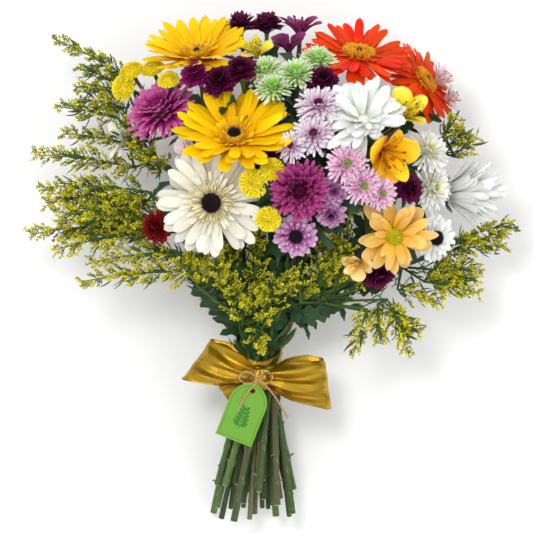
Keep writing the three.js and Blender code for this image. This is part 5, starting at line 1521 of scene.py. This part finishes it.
def make_ribbon():
    """The turn round the stems, and the bow: two loops, a tail and the pleated knot."""
    stations = []
    for k in range(25):
        turn = 90 + 360 * k / 24
        back = 0.5 - 0.5 * math.cos(math.radians(turn - 90))
        centre = 2 + 14 * back
        middle = near_tie(centre, turn, bundle_radius(centre) + 2.2)
        stations.append((middle, AXIS, RIBBON_WIDTH * (0.56 + 0.32 * back), 0.9 * (1 - back)))
    wrap, length = ribbon_band("ribbon_turn", stations, steps=3, folds=4, edge_wave=0.3)
    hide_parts("ribbon_wrap")

    left, left_length = ribbon_loop("ribbon_loop_left", (-50, 15, -9), (0.62, 0.78, 0.05), 8)
    right, right_length = ribbon_loop("ribbon_loop_right", (56, -5, -11), (-0.1, 1, 0.05), 10)
    slanted = (0.6, -0.8, -0.2)
    tail, tail_length = ribbon_band("ribbon_tail", [
        (by_knot(0, -2, -1), (0.6, -0.8, 0), 10, 1.2), (by_knot(-11, -9, -2), slanted, 18, 1.2),
        (by_knot(-18, -13, -5), slanted, 24, 0.8), (by_knot(-25, -17, -8), slanted, 27, 0.5)], folds=3)
    bands = [(left, left_length, 0.78), (right, right_length, 0.78), (tail, tail_length, 0.55)]
    for band, length, width in bands:
        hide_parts("ribbon_bow")

    turns, rings, half = 48, 22, 9
    angles = 2 * np.pi * np.arange(turns) / turns
    heights = np.linspace(-half, half, rings)
    grid = []
    for height in heights:
        share = abs(height) / half
        pleats = 1 + 0.13 * np.cos(7 * angles + 0.16 * height) + 0.05 * np.cos(13 * angles - 0.3 * height)
        reach = 8.2 * (1 - 0.22 * share**2) * pleats * (0.6 if share > 0.99 else 1)
        grid.append(np.stack([np.cos(angles) * reach, np.full(turns, height), np.sin(angles) * reach * 0.62],
                             axis=1))
    surface = Surface()
    middles = np.array([by_knot(0, -half, 0), by_knot(0, half, 0)])
    uvs = map_of(angles / 2, heights / RIBBON_WIDTH)
    add_rings(surface, np.array(grid) + KNOT, middles, uvs, (0.5, 0.5, 0.5), inside_out=True)
    knot = surface.build("ribbon_knot", [SATIN])
    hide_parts("ribbon_bow")


# The string's strands: their radius, how far each lies from the string's middle, how fast they turn round
# each other in radians a millimetre, and the fibres at each frayed end.
STRAND_RADIUS = 0.5
STRAND_OFFSET = 0.42
STRAND_TWIST = 1.05
FIBRES = 14


def make_twine():
    """The jute string: two strands twisted together, in a small bow with two ends that fray."""
    loop_left = [(-1, -0.5, 6.2), (-6, 5, 8.4), (-12, 6, 8.2), (-16, 1, 7), (-12, -3, 6.8), (-7, -3.5, 6.8),
                 (-1, -0.5, 6.2)]
    loop_right = [(-1, -0.5, 6.2), (3, 5, 7.8), (7, 6.4, 7.8), (11, 2, 6.8), (9, -2.4, 6.6), (6, -3.5, 6.6),
                  (0, -1.5, 6.4)]
    end_left = [(-1, -0.5, 6.2), (-5, -6, 8), (-10, -12, 7.6), (-16, -23, 2.6), (-21, -33, -3.4)]
    end_right = [(-1, -0.5, 6.2), (5, -5, 7), (10, -10, 6.2), (16, -19, 0.4), (21, -28, -6.4)]
    knot = [(-2, -2, 5.2), (-2.6, 0.5, 7.6), (-0.6, 2, 8), (1, 0.4, 7.2), (0.4, -2.4, 5.4)]
    surface = Surface()
    random = np.random.default_rng(SEEDS["string"])
    for way in (loop_left, loop_right, end_left, end_right, knot):
        path = smooth_path(np.array(way) + KNOT, 14)
        line, _, marks = resampled(path, np.ones(len(path)), 0.7)
        forward = units(np.gradient(line, axis=0))
        side = units(np.cross(forward, vector(0.1, 0.1, 1)))
        other = np.cross(forward, side)
        for strand in range(2):
            angle = (marks * STRAND_TWIST + strand * math.pi)[:, None]
            offset = STRAND_OFFSET * (np.cos(angle) * side + np.sin(angle) * other)
            radii = STRAND_RADIUS * (1 + random.normal(0, 0.05, len(line)))
            add_tube(surface, line + offset, radii, 7, shares=(random.uniform(), 0, 0))
    for way in (end_left, end_right):
        before, end = np.array(way[-2:]) + KNOT
        heading = unit(end - before)
        for _ in range(FIBRES):
            away = unit(heading + random.normal(0, 0.28, 3)) * random.uniform(3, 6)
            bend = end + away * 0.5 + random.normal(0, 0.4, 3)
            fibre = bezier([end - heading, bend, end + away], 4)
            add_tube(surface, fibre, 0.11, 4, shares=(random.uniform(), 0, 0))
    piece = surface.build("jute_string", [jute_material()])
    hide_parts("twine")


# Where the middles of the tag's upper and lower ends are, to give its slope.
TAG_TOP = vector(-2, -10, 87)
TAG_FOOT = vector(-20, -56, 76)


def tag_outline(inset, steps=20):
    """The tag's arched outline, counter-clockwise from its lower left corner."""
    half = TAG_WIDTH / 2 - inset
    top = TAG_HEIGHT - inset
    arch = np.array([(half, 0.66 * TAG_HEIGHT), (half, 0.86 * top), (0.45 * half, top), (0, top)])
    right = bezier(arch, steps)
    left = bezier(arch[::-1] * (-1, 1), steps)[1:]
    return np.concatenate([[[-half, inset], [half, inset]], right, left])


def make_tag():
    """A plain green card tag: its plate, an inset border line, and a printed sprig of leaves."""
    up = unit(TAG_TOP - TAG_FOOT)
    face = unit(vector(0, 0, 1) - up * up[2])
    axes = np.column_stack([np.cross(up, face), up, face])
    surface = Surface()

    def on_tag(x, y):
        """A point of the print: across the tag and up it from its foot."""
        return axes @ vector(x, y, TAG_THICKNESS + 0.12) + TAG_FOOT

    def slab(outer, inner, low, high, slot):
        """A flat ring between two outlines and two levels."""
        count = len(outer)
        rows = [np.column_stack([ring, np.full(count, level)])
                for ring, level in ((outer, low), (outer, high), (inner, high), (inner, low))]
        index = np.arange(4 * count).reshape(4, count)
        after = np.roll(index, -1, axis=1)
        quads = [np.stack([index[k], after[k], after[k - 3], index[k - 3]], axis=-1) for k in range(4)]
        uvs = np.concatenate([row[:, :2] for row in rows]) / vector(TAG_WIDTH, TAG_HEIGHT)
        points = np.concatenate(rows) @ axes.T + TAG_FOOT
        surface.add(points[None], {4: np.concatenate(quads)}, uvs, np.array([0.5, 0.5, 0.5]), slot)

    outline = tag_outline(0)
    hole_middle = vector(0, 0.88 * TAG_HEIGHT)
    hole_radius = 2.2
    slab(outline, hole_middle + units(outline - hole_middle) * hole_radius, 0.0, TAG_THICKNESS, 0)
    slab(tag_outline(1.8), tag_outline(2.2), TAG_THICKNESS, TAG_THICKNESS + 0.05, 1)
    random = np.random.default_rng(SEEDS["tag"])
    stalk = np.array([on_tag(0.6 * math.sin(k / 3), 11 + k * 1.7) for k in range(12)])
    add_tube(surface, stalk, 0.18, 5, slot=1)
    for k in range(5):
        root = on_tag(0.6 * math.sin((1 + 2 * k) / 3), 12.7 + 3.4 * k)
        for side in (-1, 1):
            tip = on_tag(side * (6.2 - 0.7 * k), 17 + 3.4 * k)
            add_leaf(surface, root, tip, face, random, width=0.42, lobes=0, grid=(4, 8), slot=1, bend=(2, -2))
    piece = surface.build("tag_card", [card_material("card", "689e2e", "74aa36"),
                                       card_material("print", "2f7a26", "37882c")], sharp=40)
    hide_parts("tag")


# Floor, light and camera.
# The photograph's size and the tie's place in it, in pixels, and its scale. Then, in millimetres, the height
# at which the scale holds, how far above that the camera is, and the width of its sensor.
PHOTO_PIXELS = 533
TIE_PIXEL = (258, 372)
MILLIMETRES_PER_PIXEL = 0.8
PICTURE_PLANE = 130
CAMERA_DISTANCE = 5000
SENSOR = 36


def make_camera():
    """The photograph's view: straight down on the bouquet's face, from far off."""
    across = (PHOTO_PIXELS / 2 - TIE_PIXEL[0]) * MILLIMETRES_PER_PIXEL
    along = (TIE_PIXEL[1] - PHOTO_PIXELS / 2) * MILLIMETRES_PER_PIXEL
    lens = bpy.data.cameras.new("camera")
    lens.sensor_width = SENSOR
    lens.lens = SENSOR * CAMERA_DISTANCE / (PHOTO_PIXELS * MILLIMETRES_PER_PIXEL)
    lens.clip_end = 100
    camera = new_object("camera", lens)
    camera.location = (vector(across, along, PICTURE_PLANE + CAMERA_DISTANCE) + ORIGIN) * MILLIMETRE
    bpy.context.scene.camera = camera


def make_floor():
    """A plain pale floor just under the bouquet."""
    size = 6
    low = -0.0003
    mesh = bpy.data.meshes.new("floor")
    corners = [(-size, -size, low), (size, -size, low), (size, size, low), (-size, size, low)]
    mesh.from_pydata(corners, [], [(0, 1, 2, 3)])
    mesh.materials.append(Nodes("floor").finish(colour("fbfbfb"), 0.9))
    new_object("floor", mesh)


def make_light(name, place, size, power):
    """A square lamp that looks at the bouquet."""
    lamp = bpy.data.lights.new(name, "AREA")
    lamp.size = size
    lamp.energy = power
    light = new_object(name, lamp)
    light.location = place
    x, y, z = vector(0, 0.05, 0.1) - place
    light.rotation_euler = (math.atan2(math.hypot(x, y), -z), 0, math.atan2(y, x) - math.pi / 2)


def make_lights():
    """A soft key from the upper left, a weaker one from the right, and surroundings palest overhead."""
    make_light("key", (-0.45, 0.6, 2.35), size=0.6, power=19)
    make_light("fill", (1.3, -0.4, 1.8), size=1.4, power=5)
    world = bpy.data.worlds.new("studio")
    world.use_nodes = True
    tree = world.node_tree
    place = tree.nodes.new("ShaderNodeTexCoord")
    apart = tree.nodes.new("ShaderNodeSeparateXYZ")
    ramp = tree.nodes.new("ShaderNodeValToRGB")
    background = tree.nodes["Background"]
    for element, (height, grey) in zip(ramp.color_ramp.elements, [(0.0, 0.62), (0.8, 1.0)]):
        element.position = height
        element.color = (grey, grey, grey, 1)
    tree.links.new(place.outputs["Generated"], apart.inputs[0])
    tree.links.new(apart.outputs[2], ramp.inputs[0])
    tree.links.new(ramp.outputs[0], background.inputs["Color"])
    background.inputs["Strength"].default_value = 1.02
    bpy.context.scene.world = world
    bpy.context.scene.view_settings.view_transform = "Standard"


make_camera()
make_floor()
make_lights()
make_blooms()
stem_paths = stem_lines()
make_stems(stem_paths)
make_leaves(stem_paths)
make_goldenrod()
make_ribbon()
make_twine()
make_tag()
